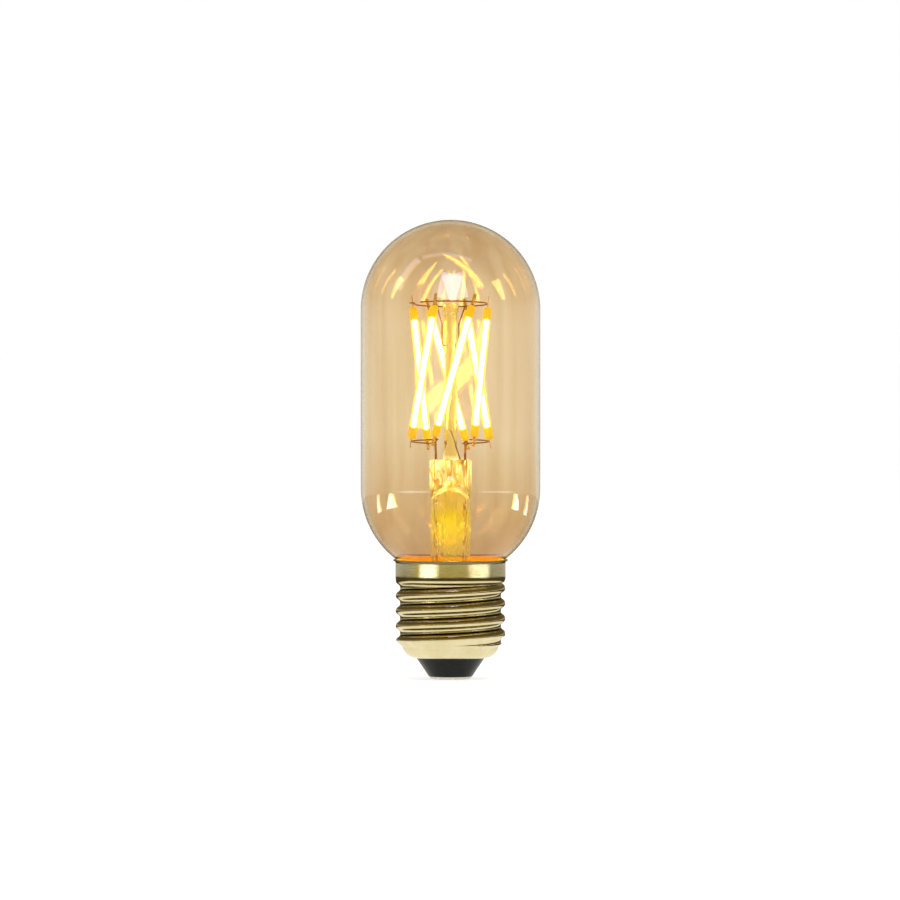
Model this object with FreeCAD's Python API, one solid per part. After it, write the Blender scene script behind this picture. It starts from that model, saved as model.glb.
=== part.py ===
import FreeCAD, Part
import math
import os

Vector = FreeCAD.Vector

# Tubular filament bulb with a rolled screw cap.
# It stands cap down on its axis Z. z = 0 is the face of the centre contact, and -Y is the front.
# Lengths are in millimetres and angles in degrees.

# Glass envelope
OVERALL_LENGTH = 110.0
GLASS_RADIUS = 21.5
GLASS_WALL = 0.9
GLASS_LIP_GAP = 0.37
NECK_FILLET = 2.5
NECK_GAP = 0.2
NECK_RIM_HEIGHT = 19.0

# Screw cap, one piece of rolled sheet
SHEET = 0.35
CREST_RADIUS = 13.15
THREAD_PITCH = 3.629
THREAD_DEPTH = 1.096
CREST_HEIGHT_AT_SIDE = 10.96
COLLAR_PROUD = 0.05
COLLAR_START = 24.1
LIP_TOP = 28.7
LIP_OVERHANG = 0.55
LIP_LAND = 0.35
FLARE_ANGLE = 45.0
BOWL_INSET = 1.65
BOWL_BOTTOM = 5.1
BOWL_ROUNDING = 3.2
BOWL_TOP = 7.75
RUN_OUT_RISE = 1.6

# Rounding of the thread: the root is rolled very slightly flat, and ridges start below that flat
ROOT_FLAT_RISE = 0.03
RIDGE_EDGE_GAP = 0.15
RIDGE_BURIAL = 0.4

# Centre contact, its solder and the glass insulator
CONTACT_RADIUS = 5.05
CONTACT_THICKNESS = 0.68
CONTACT_ROUNDING = 0.5
EYELET_RADIUS = 1.1
EYELET_WALL = 0.35
EYELET_HEIGHT = 1.5
SOLDER_RECESS = 0.1
SOLDER_HEIGHT = 1.5
INSULATOR_TIP_MARGIN = 0.2
INSULATOR_SHOULDER_INSET = 0.25
INSULATOR_SHOULDER_DROP = 0.26
INSULATOR_TOP = 7.6
DISH_RIM = 2.1
DISH_FLOOR_RADIUS = 3.0
DISH_DEPTH = 3.4
DISH_ROUNDING = 0.5

# Cement between the neck and the cap
CEMENT_START_ABOVE_COLLAR = 0.2
CEMENT_BELOW_LIP = 0.25

# Stem: flare tube, pinch, exhaust tube and column
STEM_RADIUS = 4.82
STEM_WALL = 0.9
FLARE_ROUNDING = 5.0
FLARE_RIM_RISE = 0.5
PINCH_TOP = 52.6
PINCH_HEIGHT = 6.0
PINCH_HALF_WIDTH = 5.0
PINCH_THICKNESS = 4.4
PINCH_SHOULDER = 3.0
PINCH_EASE = 0.5
BORE_END_BELOW_PINCH = 0.8
EXHAUST_RADIUS = 1.6
EXHAUST_WALL = 0.5
EXHAUST_SOCKET = 1.2
EXHAUST_TIP = 15.4
BLOW_HOLE_RADIUS = 0.9
BLOW_HOLE_RISE = 1.9
COLUMN_RADIUS = 1.5
COLUMN_FOOT_RADIUS = 1.75
COLUMN_FOOT_HEIGHT = 2.0
COLUMN_FOOT_ROUNDING = 2.0
COLUMN_ABOVE_RING = 0.2
BUTTON_RADIUS = 1.95
BUTTON_HEIGHT = 2.6
BUTTON_FLARE_HEIGHT = 0.6
BUTTON_FLARE_ROUNDING = 0.35
BUTTON_TOP_ROUNDING = 1.35
# Share of its radius that rounds a tube's or a bore's closed end
MELTED_END = 0.95

# Lead wires through the pinch
LEAD_OFFSET = 3.5
INNER_LEAD_RADIUS = 0.28
DUMET_RADIUS = 0.22
OUTER_LEAD_RADIUS = 0.25
DUMET_LENGTH = 4.0
DUMET_BELOW_TOP = 1.1
LEAD_RISE = 1.3
LEAD_BEND = 0.8
WELD_RADIUS = 0.5

# Filament cage: six strips between a lower and an upper ring of wire
FILAMENT_COUNT = 6
LOWER_RING_RADIUS = 9.5
UPPER_RING_RADIUS = 9.1
LOWER_RING_ABOVE_PINCH = 4.35
UPPER_RING_ABOVE_DOME_CENTRE = 1.4
FIRST_BOTTOM_ANGLE = -24.4
CAGE_TWIST = 60.6
RING_TILT = 4.0
BUS_RADIUS = 0.17
BUS_OVERHANG_ANGLE = 6.0
UPPER_GAP_ANGLE = 24.0
UPPER_TAIL = 1.3
UPPER_TAIL_BEND = 0.6

# Filament strip and its end tabs
COAT_WIDTH = 1.8
COAT_THICKNESS = 1.45
COAT_ROUNDING = 0.5
COAT_ABOVE_LOWER_RING = 0.7
COAT_BELOW_UPPER_RING = 1.0
TAB_WIDTH = 0.8
TAB_THICKNESS = 0.2
TAB_ROUNDING = 0.05
TAB_PAST_LOWER_RING = 1.6
TAB_PAST_UPPER_RING = 1.9

# Support and brace wires on the column
SUPPORT_RADIUS = 0.16
SUPPORT_DEPTH = 0.8
SUPPORT_REACH = 2.3
SUPPORT_BEND = 0.7
SUPPORT_BELOW_RING = 10.0
SUPPORT_STRAIGHT = 5.0
SUPPORT_TURN_FROM_RING = 36.0
BRACE_RADIUS = 0.14
BRACE_FOOT_X = 2.6
BRACE_FOOT_Y = -0.9
BRACE_FOOT_DEPTH = 0.8
BRACE_TOP_ABOVE_PINCH = 7.2
BRACE_TOP_DEPTH = 0.5

# Driver board in the cap, with its parts
BOARD_GAP = 0.75
BOARD_THICKNESS = 1.0
BOARD_BEVEL = 0.125
CAPACITOR_RADIUS = 2.5
CAPACITOR_HEIGHT = 6.8
CAPACITOR_GROOVE = 0.2
CAPACITOR_GROOVE_HEIGHT = 1.36
CAPACITOR_CUP_RADIUS = 1.9
CAPACITOR_INSET = 3.7
CAPACITOR_ANGLE = 206.5
PACKAGE_BEVEL = 0.2
RECTIFIER_SIZE = (4.8, 3.8, 1.8)
RECTIFIER_INSET = 3.85
RECTIFIER_ANGLE = 31.3
RECTIFIER_LEGS = 2
CHIP_SIZE = (4.9, 3.9, 1.6)
CHIP_INSET = 3.9
CHIP_ANGLE = 326.3
CHIP_LEGS = 4
LEG_WIDTH = 0.5
LEG_THICKNESS = 0.25
LEG_REACH = 0.8
RESISTOR_RADIUS = 1.15
RESISTOR_LENGTH = 5.4
RESISTOR_WAIST_DEPTH = 0.17
RESISTOR_END_LENGTH = 1.1
RESISTOR_END_SLOPE = 0.25
RESISTOR_ROUNDING = 0.2
RESISTOR_LEAD_RADIUS = 0.25
RESISTOR_LEAD_DEPTH = 0.3
RESISTOR_LEAD_REACH = 1.0
RESISTOR_LEAD_BEND = 0.5
RESISTOR_RISE = 1.5
RESISTOR_INSET = 3.85
RESISTOR_ANGLE = 121.3
CONTACT_WIRE_RADIUS = 0.3
SHELL_WIRE_RADIUS = 0.25
SHELL_WIRE_BEND = 0.7
SHELL_WIRE_INSET = 1.3

# Clearance between neighbours, and how far a cutting form reaches past what it cuts
SEAT = 0.02
OVERSHOOT = 1.0

# Values that follow from the ones above
KNUCKLE_RADIUS = (THREAD_PITCH ** 2 / 4 + THREAD_DEPTH ** 2) / (4 * THREAD_DEPTH)
ROOT_RADIUS = CREST_RADIUS - THREAD_DEPTH
CORE_RADIUS = ROOT_RADIUS + ROOT_FLAT_RISE
COLLAR_RADIUS = CREST_RADIUS + COLLAR_PROUD
LIP_RADIUS = COLLAR_RADIUS + LIP_OVERHANG
FLARE_SPREAD = math.tan(math.radians(FLARE_ANGLE))
FLARE_MITRE = math.tan(math.radians(FLARE_ANGLE / 2))
FLARE_START = LIP_TOP - LIP_LAND - LIP_OVERHANG / FLARE_SPREAD
BOWL_RADIUS = CREST_RADIUS - BOWL_INSET
BOTTOM_HOLE_RADIUS = BOWL_RADIUS - BOWL_ROUNDING
NECK_RADIUS = CORE_RADIUS - SHEET - NECK_GAP
DOME_CENTRE = OVERALL_LENGTH - GLASS_RADIUS
GLASS_AT_LIP = LIP_RADIUS - SHEET - GLASS_LIP_GAP
LOWER_CENTRE = LIP_TOP + math.sqrt(GLASS_RADIUS ** 2 - GLASS_AT_LIP ** 2)
PINCH_BOTTOM = PINCH_TOP - PINCH_HEIGHT
STEM_BORE_END = PINCH_BOTTOM - BORE_END_BELOW_PINCH
LOWER_RING_HEIGHT = PINCH_TOP + LOWER_RING_ABOVE_PINCH
UPPER_RING_HEIGHT = DOME_CENTRE + UPPER_RING_ABOVE_DOME_CENTRE
COLUMN_TOP = UPPER_RING_HEIGHT + COLUMN_ABOVE_RING
LOWER_BUS_RADIUS = LOWER_RING_RADIUS - BUS_RADIUS - TAB_THICKNESS / 2 - SEAT
UPPER_BUS_RADIUS = UPPER_RING_RADIUS - BUS_RADIUS - TAB_THICKNESS / 2 - SEAT
STRIP_STEP = 360.0 / FILAMENT_COUNT
DUMET_TOP = PINCH_TOP - DUMET_BELOW_TOP
DUMET_BOTTOM = DUMET_TOP - DUMET_LENGTH
BOARD_RADIUS = BOWL_RADIUS - SHEET - BOARD_GAP
BOARD_BOTTOM = INSULATOR_TOP
BOARD_TOP = BOARD_BOTTOM + BOARD_THICKNESS


def rounded_edges(points, roundings, closed):
    """Straight runs through the points, each corner eased by a tangent arc of its rounding."""
    count = len(points)
    bends = []
    for index, point in enumerate(points):
        at_end = not closed and index in (0, count - 1)
        if at_end or roundings[index] <= 0:
            bends.append((point, None, point))
            continue
        back = (points[index - 1] - point).normalize()
        ahead = (points[(index + 1) % count] - point).normalize()
        half_angle = back.getAngle(ahead) / 2
        trim = roundings[index] / math.tan(half_angle)
        to_arc = roundings[index] / math.sin(half_angle) - roundings[index]
        middle = point + (back + ahead).normalize() * to_arc
        bends.append((point + back * trim, middle, point + ahead * trim))
    edges = []
    for index, (enter, middle, leave) in enumerate(bends):
        if middle is not None:
            edges.append(Part.Arc(enter, middle, leave).toShape())
        if index == count - 1 and not closed:
            break
        following = bends[(index + 1) % count][0]
        if leave.distanceToPoint(following) > 1e-6:
            edges.append(Part.makeLine(leave, following))
    return edges


def revolved(edges):
    """Solid of revolution about Z of a closed outline in the XZ plane."""
    face = Part.Face(Part.Wire(edges))
    solid = face.revolve(Vector(0, 0, 0), Vector(0, 0, 1), 360)
    return outward_facing(solid)


def turned(corners):
    """Solid turned about Z from corners of (radius, height) or (radius, height, rounding)."""
    points = [Vector(corner[0], 0, corner[1]) for corner in corners]
    roundings = [corner[2] if len(corner) > 2 else 0 for corner in corners]
    return revolved(rounded_edges(points, roundings, True))


def outward_facing(solid):
    """The same solid with its faces pointing outwards."""
    if solid.Volume < 0:
        solid.reverse()
    return solid


def section_arc(radius, centre, start, end):
    """Arc in the XZ plane about centre (radius, height), from start to end degrees above +X."""
    def point_at(angle):
        turn = math.radians(angle)
        return Vector(centre[0] + radius * math.cos(turn), 0, centre[1] + radius * math.sin(turn))
    return Part.Arc(point_at(start), point_at((start + end) / 2), point_at(end)).toShape()


def rod(start, end, radius):
    """Straight round rod from start to end."""
    along = end - start
    return Part.makeCylinder(radius, along.Length, start, along)


def bent_rod(points, bend, radius):
    """Round wire along straight runs that are joined by bends."""
    path = Part.Wire(rounded_edges(points, [bend] * len(points), False))
    section = Part.Wire(Part.makeCircle(radius, points[0], points[1] - points[0]))
    return outward_facing(path.makePipeShell([section], True, False))


def bar(origin, along, outward, size, rounding):
    """Bar of size (width, thickness, length) with rounded long edges, starting at origin.

    Its length follows along, and its broad faces look towards outward."""
    width, thickness, length = size
    axis = Vector(along).normalize()
    normal = (outward - axis * outward.dot(axis)).normalize()
    side = normal.cross(axis)
    half_w = width / 2
    half_t = thickness / 2
    corners = [Vector(x, y, 0) for x, y in
               ((-half_w, -half_t), (half_w, -half_t), (half_w, half_t), (-half_w, half_t))]
    outline = Part.Wire(rounded_edges(corners, [rounding] * len(corners), True))
    solid = Part.Face(outline).extrude(Vector(0, 0, length))
    solid.Placement = FreeCAD.Placement(origin, FreeCAD.Rotation(side, normal, axis, "ZXY"))
    return solid


def glass_form(inset, bottom):
    """Solid filled out to the envelope's outer face moved inwards by inset."""
    radius = GLASS_RADIUS - inset
    neck = NECK_RADIUS - inset
    fillet = NECK_FILLET + inset
    fillet_r = NECK_RADIUS + NECK_FILLET
    fillet_z = LOWER_CENTRE - math.sqrt((GLASS_RADIUS + NECK_FILLET) ** 2 - fillet_r ** 2)
    meeting = math.degrees(math.atan2(LOWER_CENTRE - fillet_z, fillet_r))
    edges = [
        Part.makeLine(Vector(0, 0, bottom), Vector(neck, 0, bottom)),
        Part.makeLine(Vector(neck, 0, bottom), Vector(neck, 0, fillet_z)),
        section_arc(fillet, (fillet_r, fillet_z), 180, 180 - meeting),
        section_arc(radius, (0, LOWER_CENTRE), -meeting, 0),
        Part.makeLine(Vector(radius, 0, LOWER_CENTRE), Vector(radius, 0, DOME_CENTRE)),
        section_arc(radius, (0, DOME_CENTRE), 0, 90),
        Part.makeLine(Vector(0, 0, DOME_CENTRE + radius), Vector(0, 0, bottom)),
    ]
    return revolved(edges)


def glass_envelope():
    """Blown tube with a domed top, a rounded lower bowl and a neck that is open below."""
    hollow = glass_form(GLASS_WALL, NECK_RIM_HEIGHT - OVERSHOOT)
    return glass_form(0, NECK_RIM_HEIGHT).cut(hollow)


def ridge_section(inset):
    """Outline of one rounded thread ridge in the XZ plane, its crest at z = 0."""
    half_pitch = THREAD_PITCH / 2
    crest_arc = KNUCKLE_RADIUS - inset
    root_arc = KNUCKLE_RADIUS + inset
    crest_centre = CREST_RADIUS - KNUCKLE_RADIUS
    root_centre = ROOT_RADIUS + KNUCKLE_RADIUS
    slope = math.degrees(math.atan2(half_pitch, root_centre - crest_centre))
    edge = math.degrees(math.asin(RIDGE_EDGE_GAP / root_arc))
    lower_root = section_arc(root_arc, (root_centre, -half_pitch), 180 - edge, 180 - slope)
    crest = section_arc(crest_arc, (crest_centre, 0), -slope, slope)
    upper_root = section_arc(root_arc, (root_centre, half_pitch), 180 + slope, 180 + edge)
    low = lower_root.Vertexes[0].Point
    high = upper_root.Vertexes[-1].Point
    buried = ROOT_RADIUS - inset - RIDGE_BURIAL
    low_inside = Vector(buried, 0, low.z)
    high_inside = Vector(buried, 0, high.z)
    return Part.Wire([
        Part.makeLine(low_inside, low),
        lower_root,
        crest,
        upper_root,
        Part.makeLine(high, high_inside),
        Part.makeLine(high_inside, low_inside),
    ])


def thread_ridge(inset):
    """Right-handed ridge that runs from inside the bowl up into the collar."""
    start = BOWL_TOP - THREAD_PITCH / 2
    end = COLLAR_START + THREAD_PITCH / 2
    turn = (start - CREST_HEIGHT_AT_SIDE) / THREAD_PITCH * 360
    helix = Part.Wire(Part.makeHelix(THREAD_PITCH, end - start, CREST_RADIUS))
    ridge = outward_facing(helix.makePipeShell([ridge_section(inset)], True, True))
    ridge.rotate(Vector(0, 0, 0), Vector(0, 0, 1), turn)
    ridge.translate(Vector(0, 0, start))
    return ridge


def cap_core(inset, bottom, top):
    """Turned core of the cap: root cylinder, curved step out to the collar, flare and lip."""
    rise = COLLAR_RADIUS - CORE_RADIUS
    sideways = 2 * KNUCKLE_RADIUS - rise
    step = math.sqrt((2 * KNUCKLE_RADIUS) ** 2 - sideways ** 2)
    slope = math.degrees(math.atan2(step, sideways))
    step_start = COLLAR_START - step
    core = CORE_RADIUS - inset
    collar = COLLAR_RADIUS - inset
    lip = LIP_RADIUS - inset
    flare = FLARE_START + inset * FLARE_MITRE
    outer_run = rounded_edges(
        [
            Vector(collar, 0, COLLAR_START),
            Vector(collar, 0, flare),
            Vector(lip, 0, flare + LIP_OVERHANG / FLARE_SPREAD),
            Vector(lip, 0, top),
            Vector(0, 0, top),
            Vector(0, 0, bottom),
            Vector(core, 0, bottom),
            Vector(core, 0, step_start),
        ],
        [0] * 8,
        False,
    )
    root_curve = section_arc(
        KNUCKLE_RADIUS + inset, (CORE_RADIUS + KNUCKLE_RADIUS, step_start), 180, 180 - slope)
    crest_curve = section_arc(
        KNUCKLE_RADIUS - inset, (COLLAR_RADIUS - KNUCKLE_RADIUS, COLLAR_START), -slope, 0)
    return revolved(outer_run + [root_curve, crest_curve])


def cap_limit(inset, top):
    """Turned form that rounds the bowl and lets the thread run out on a cone above it."""
    limit = LIP_RADIUS + SHEET
    slope = math.atan2(RUN_OUT_RISE, CREST_RADIUS - BOWL_RADIUS)
    lift = inset / math.cos(slope)
    start = BOWL_RADIUS - BOWL_ROUNDING / 2
    bowl = turned([
        (0, BOWL_BOTTOM + inset),
        (BOWL_RADIUS - inset, BOWL_BOTTOM + inset, BOWL_ROUNDING - inset),
        (BOWL_RADIUS - inset, BOWL_TOP + RUN_OUT_RISE),
        (0, BOWL_TOP + RUN_OUT_RISE),
    ])
    cone = turned([
        (0, BOWL_TOP),
        (start, BOWL_TOP + lift + (start - BOWL_RADIUS) * math.tan(slope)),
        (limit, BOWL_TOP + lift + (limit - BOWL_RADIUS) * math.tan(slope)),
        (limit, top),
        (0, top),
    ])
    return bowl.fuse(cone)


def cap_form(inset, top):
    """Solid filled out to the cap's outer face moved inwards by inset."""
    core = cap_core(inset, BOWL_BOTTOM, top)
    return core.fuse(thread_ridge(inset)).common(cap_limit(inset, top))


def cap_shell():
    """Sheet cap: both faces follow the same thread, one sheet thickness apart."""
    outside = cap_form(0, LIP_TOP)
    inside = cap_form(SHEET, LIP_TOP + OVERSHOOT)
    hole = Part.makeCylinder(BOTTOM_HOLE_RADIUS, BOWL_BOTTOM + SHEET + OVERSHOOT)
    return outside.cut(inside).cut(hole)


def cap_insulator():
    """Black glass cone below the cap, moulded into the bowl, with a dished top and a centre hole."""
    inside = BOWL_RADIUS - SHEET - SEAT
    floor = BOWL_BOTTOM + SHEET + SEAT
    neck = BOTTOM_HOLE_RADIUS - SEAT
    hole = EYELET_RADIUS + SEAT
    dish_floor = INSULATOR_TOP - DISH_DEPTH
    shoulder = BOTTOM_HOLE_RADIUS - INSULATOR_SHOULDER_INSET
    return turned([
        (hole, CONTACT_THICKNESS),
        (CONTACT_RADIUS + INSULATOR_TIP_MARGIN, CONTACT_THICKNESS),
        (shoulder, BOWL_BOTTOM - INSULATOR_SHOULDER_DROP),
        (neck, BOWL_BOTTOM),
        (neck, floor),
        (inside, floor, BOWL_ROUNDING - SHEET - SEAT),
        (inside, INSULATOR_TOP),
        (inside - DISH_RIM, INSULATOR_TOP),
        (DISH_FLOOR_RADIUS, dish_floor, DISH_ROUNDING),
        (hole, dish_floor),
    ])


def center_contact():
    """Contact disc with a rounded lower edge and an eyelet that goes up into the insulator."""
    bore = EYELET_RADIUS - EYELET_WALL
    return turned([
        (bore, 0),
        (CONTACT_RADIUS, 0, CONTACT_ROUNDING),
        (CONTACT_RADIUS, CONTACT_THICKNESS),
        (EYELET_RADIUS, CONTACT_THICKNESS),
        (EYELET_RADIUS, CONTACT_THICKNESS + EYELET_HEIGHT),
        (bore, CONTACT_THICKNESS + EYELET_HEIGHT),
    ])


def contact_solder():
    radius = EYELET_RADIUS - EYELET_WALL - SEAT
    return turned([
        (0, SOLDER_RECESS),
        (radius, SOLDER_RECESS),
        (radius, SOLDER_RECESS + SOLDER_HEIGHT),
        (0, SOLDER_RECESS + SOLDER_HEIGHT),
    ])


def capping_cement():
    """Ring of cement that fills the gap between the neck of the glass and the collar and lip."""
    collar = COLLAR_RADIUS - SHEET - SEAT
    start = COLLAR_START + CEMENT_START_ABOVE_COLLAR
    top = LIP_TOP - CEMENT_BELOW_LIP
    flare = FLARE_START + (SHEET + SEAT) * FLARE_MITRE
    filled = turned([
        (0, start),
        (collar, start),
        (collar, flare),
        (collar + min((top - flare) * FLARE_SPREAD, LIP_OVERHANG), top),
        (0, top),
    ])
    return filled.cut(glass_form(-SEAT, NECK_RIM_HEIGHT))


def pinch_section(half_width, half_thickness, height):
    """Level outline of the pressed glass: two flats joined by half-round ends."""
    flat = half_width - half_thickness
    front_left = Vector(-flat, -half_thickness, height)
    front_right = Vector(flat, -half_thickness, height)
    back_right = Vector(flat, half_thickness, height)
    back_left = Vector(-flat, half_thickness, height)
    right = Part.Arc(front_right, Vector(half_width, 0, height), back_right).toShape()
    left = Part.Arc(back_left, Vector(-half_width, 0, height), front_left).toShape()
    front = Part.makeLine(front_left, front_right)
    back = Part.makeLine(back_right, back_left)
    return Part.Wire([front, right, back, left])


def tube_section(radius, height):
    """Level circle in four arcs, to match the four edges of the pinch outline."""
    circle = Part.Circle(Vector(0, 0, height), Vector(0, 0, 1), radius)
    quarters = [(225, 315), (315, 405), (45, 135), (135, 225)]
    arcs = []
    for start, end in quarters:
        middle = (start + end) / 2
        points = [circle.value(math.radians(angle)) for angle in (start, middle, end)]
        arcs.append(Part.Arc(*points).toShape())
    return Part.Wire(arcs)


def stem_flare():
    """Stem glass: flared skirt, tube and flat pinch in one, open below, holed for wires and pumping."""
    half_thickness = PINCH_THICKNESS / 2
    rim = NECK_RADIUS - GLASS_WALL - SEAT
    rim_top = NECK_RIM_HEIGHT + FLARE_RIM_RISE + STEM_WALL
    shoulder = PINCH_BOTTOM - PINCH_SHOULDER
    bore = STEM_RADIUS - STEM_WALL
    skirt = turned([
        (0, rim_top - STEM_WALL),
        (rim, rim_top - STEM_WALL),
        (rim, rim_top),
        (STEM_RADIUS, rim_top, FLARE_ROUNDING),
        (STEM_RADIUS, shoulder),
        (0, shoulder),
    ])
    blend = Part.makeLoft(
        [tube_section(STEM_RADIUS, shoulder),
         pinch_section(PINCH_HALF_WIDTH, half_thickness, PINCH_BOTTOM)], True, True)
    block = Part.Face(pinch_section(PINCH_HALF_WIDTH, half_thickness, PINCH_BOTTOM))
    block = block.extrude(Vector(0, 0, PINCH_HEIGHT))
    top_edges = [edge for edge in block.Edges if abs(edge.BoundBox.ZMin - PINCH_TOP) < 1e-6]
    block = block.makeFillet(PINCH_EASE, top_edges)
    hollow = turned([
        (0, NECK_RIM_HEIGHT - OVERSHOOT),
        (rim + OVERSHOOT, NECK_RIM_HEIGHT - OVERSHOOT),
        (rim + OVERSHOOT, rim_top - STEM_WALL),
        (bore, rim_top - STEM_WALL, FLARE_ROUNDING + STEM_WALL),
        (bore, STEM_BORE_END, bore * MELTED_END),
        (0, STEM_BORE_END),
    ])
    stem = skirt.fuse([outward_facing(blend), block]).removeSplitter().cut(hollow)
    return stem.cut(stem_passages())


def stem_passages():
    """What is open in the pinch: the wires' holes, the exhaust socket and the blow hole."""
    socket_top = STEM_BORE_END + EXHAUST_SOCKET
    blow_height = STEM_BORE_END + BLOW_HOLE_RISE
    socket_start = STEM_BORE_END - OVERSHOOT
    holes = [
        rod(Vector(0, 0, socket_start), Vector(0, 0, socket_top), EXHAUST_RADIUS + SEAT),
        rod(Vector(0, 0, socket_top), Vector(0, 0, blow_height), EXHAUST_RADIUS - EXHAUST_WALL),
        rod(Vector(0, 0, blow_height), Vector(0, -PINCH_THICKNESS, blow_height), BLOW_HOLE_RADIUS),
    ]
    for side in (-1, 1):
        levels = [
            (STEM_BORE_END - STEM_RADIUS, DUMET_BOTTOM, OUTER_LEAD_RADIUS),
            (DUMET_BOTTOM, DUMET_TOP, DUMET_RADIUS),
            (DUMET_TOP, PINCH_TOP + OVERSHOOT, INNER_LEAD_RADIUS),
        ]
        for low, high, radius in levels:
            start = Vector(side * LEAD_OFFSET, 0, low)
            end = Vector(side * LEAD_OFFSET, 0, high)
            holes.append(rod(start, end, radius + SEAT))
    holes.append(brace_wire(SEAT))
    return holes[0].fuse(holes[1:])


def exhaust_tube():
    """Thin pumping tube, open into the pinch and melted shut at its lower tip."""
    top = STEM_BORE_END + EXHAUST_SOCKET
    bore = EXHAUST_RADIUS - EXHAUST_WALL
    inner_tip = EXHAUST_TIP + 2 * EXHAUST_WALL
    return turned([
        (0, EXHAUST_TIP),
        (EXHAUST_RADIUS, EXHAUST_TIP, EXHAUST_RADIUS * MELTED_END),
        (EXHAUST_RADIUS, top),
        (bore, top),
        (bore, inner_tip, bore * MELTED_END),
        (0, inner_tip),
    ])


def center_column():
    """Glass rod on the pinch, wider at its foot, with a melted button that holds the supports."""
    button_start = COLUMN_TOP - BUTTON_HEIGHT
    column = turned([
        (0, PINCH_TOP),
        (COLUMN_FOOT_RADIUS, PINCH_TOP),
        (COLUMN_RADIUS, PINCH_TOP + COLUMN_FOOT_HEIGHT, COLUMN_FOOT_ROUNDING),
        (COLUMN_RADIUS, button_start, BUTTON_FLARE_ROUNDING),
        (BUTTON_RADIUS, button_start + BUTTON_FLARE_HEIGHT, BUTTON_FLARE_ROUNDING),
        (BUTTON_RADIUS, COLUMN_TOP, BUTTON_TOP_ROUNDING),
        (0, COLUMN_TOP),
    ])
    return column.cut([brace_wire(SEAT), support_wire(0, SEAT), support_wire(180, SEAT)])


def radial(angle):
    """Level unit vector at an angle from the front (-Y) towards +X."""
    turn = math.radians(angle)
    return Vector(math.sin(turn), -math.cos(turn), 0)


def ring_point(radius, angle, height):
    """Point of a tilted cage ring, which stands higher at the front than at the back."""
    tilt = math.radians(RING_TILT)
    level = radial(angle) * radius
    return Vector(level.x, level.y * math.cos(tilt), height - level.y * math.sin(tilt))


def ring_arc(radius, start, end, height):
    """Arc of a tilted cage ring between two angles."""
    angles = (start, (start + end) / 2, end)
    return Part.Arc(*[ring_point(radius, angle, height) for angle in angles])


def bottom_angle(index):
    return FIRST_BOTTOM_ANGLE + index * STRIP_STEP


def top_angle(index):
    return bottom_angle(index) + CAGE_TWIST


def swept_arc(arc, radius):
    """Round wire along one arc."""
    path = Part.Wire(arc.toShape())
    start = arc.value(arc.FirstParameter)
    direction = arc.tangent(arc.FirstParameter)[0]
    section = Part.Wire(Part.makeCircle(radius, start, direction))
    return outward_facing(path.makePipeShell([section], True, False))


def lower_bus(first, last, grow=0):
    """Lower arc of wire that joins the bottoms of the strips from first to last."""
    start = bottom_angle(first) - BUS_OVERHANG_ANGLE
    end = bottom_angle(last) + BUS_OVERHANG_ANGLE
    arc = ring_arc(LOWER_BUS_RADIUS, start, end, LOWER_RING_HEIGHT)
    return swept_arc(arc, BUS_RADIUS + grow)


def upper_bus_ring():
    """Open ring that joins the tops of all strips, one end turned outwards past the cage."""
    end = top_angle(FILAMENT_COUNT - 2) + BUS_OVERHANG_ANGLE
    start = end - 360 + UPPER_GAP_ANGLE
    arc = ring_arc(UPPER_BUS_RADIUS, start, end, UPPER_RING_HEIGHT)
    tip = arc.value(arc.LastParameter)
    onward = arc.tangent(arc.LastParameter)[0]
    outward = (tip - Vector(0, 0, UPPER_RING_HEIGHT)).normalize()
    half = math.sqrt(0.5)
    turn_middle = tip + onward * (UPPER_TAIL_BEND * half) + outward * (UPPER_TAIL_BEND * (1 - half))
    turn_end = tip + (onward + outward) * UPPER_TAIL_BEND
    tail_end = turn_end + outward * (UPPER_TAIL - UPPER_TAIL_BEND)
    turn = Part.Arc(tip, turn_middle, turn_end).toShape()
    path = Part.Wire([arc.toShape(), turn, Part.makeLine(turn_end, tail_end)])
    first = arc.value(arc.FirstParameter)
    section = Part.Wire(Part.makeCircle(BUS_RADIUS, first, arc.tangent(arc.FirstParameter)[0]))
    return outward_facing(path.makePipeShell([section], True, False))


def strip_frame(index):
    """Lower and upper ring points of a strip, and the unit vector from the lower to the upper."""
    low = ring_point(LOWER_RING_RADIUS, bottom_angle(index), LOWER_RING_HEIGHT)
    high = ring_point(UPPER_RING_RADIUS, top_angle(index), UPPER_RING_HEIGHT)
    return low, high, (high - low).normalize()


def filament(index):
    """Coated light strip, leaning from its place on the lower ring to its place on the upper."""
    low, high, along = strip_frame(index)
    middle_angle = (bottom_angle(index) + top_angle(index)) / 2
    length = low.distanceToPoint(high) - COAT_ABOVE_LOWER_RING - COAT_BELOW_UPPER_RING
    size = (COAT_WIDTH, COAT_THICKNESS, length)
    return bar(low + along * COAT_ABOVE_LOWER_RING, along, radial(middle_angle), size, COAT_ROUNDING)


def bottom_tab(index):
    low, _, along = strip_frame(index)
    size = (TAB_WIDTH, TAB_THICKNESS, COAT_ABOVE_LOWER_RING + TAB_PAST_LOWER_RING)
    start = low - along * TAB_PAST_LOWER_RING
    return bar(start, along, radial(bottom_angle(index)), size, TAB_ROUNDING)


def top_tab(index):
    _, high, along = strip_frame(index)
    size = (TAB_WIDTH, TAB_THICKNESS, COAT_BELOW_UPPER_RING + TAB_PAST_UPPER_RING)
    start = high - along * COAT_BELOW_UPPER_RING
    return bar(start, along, radial(top_angle(index)), size, TAB_ROUNDING)


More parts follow.
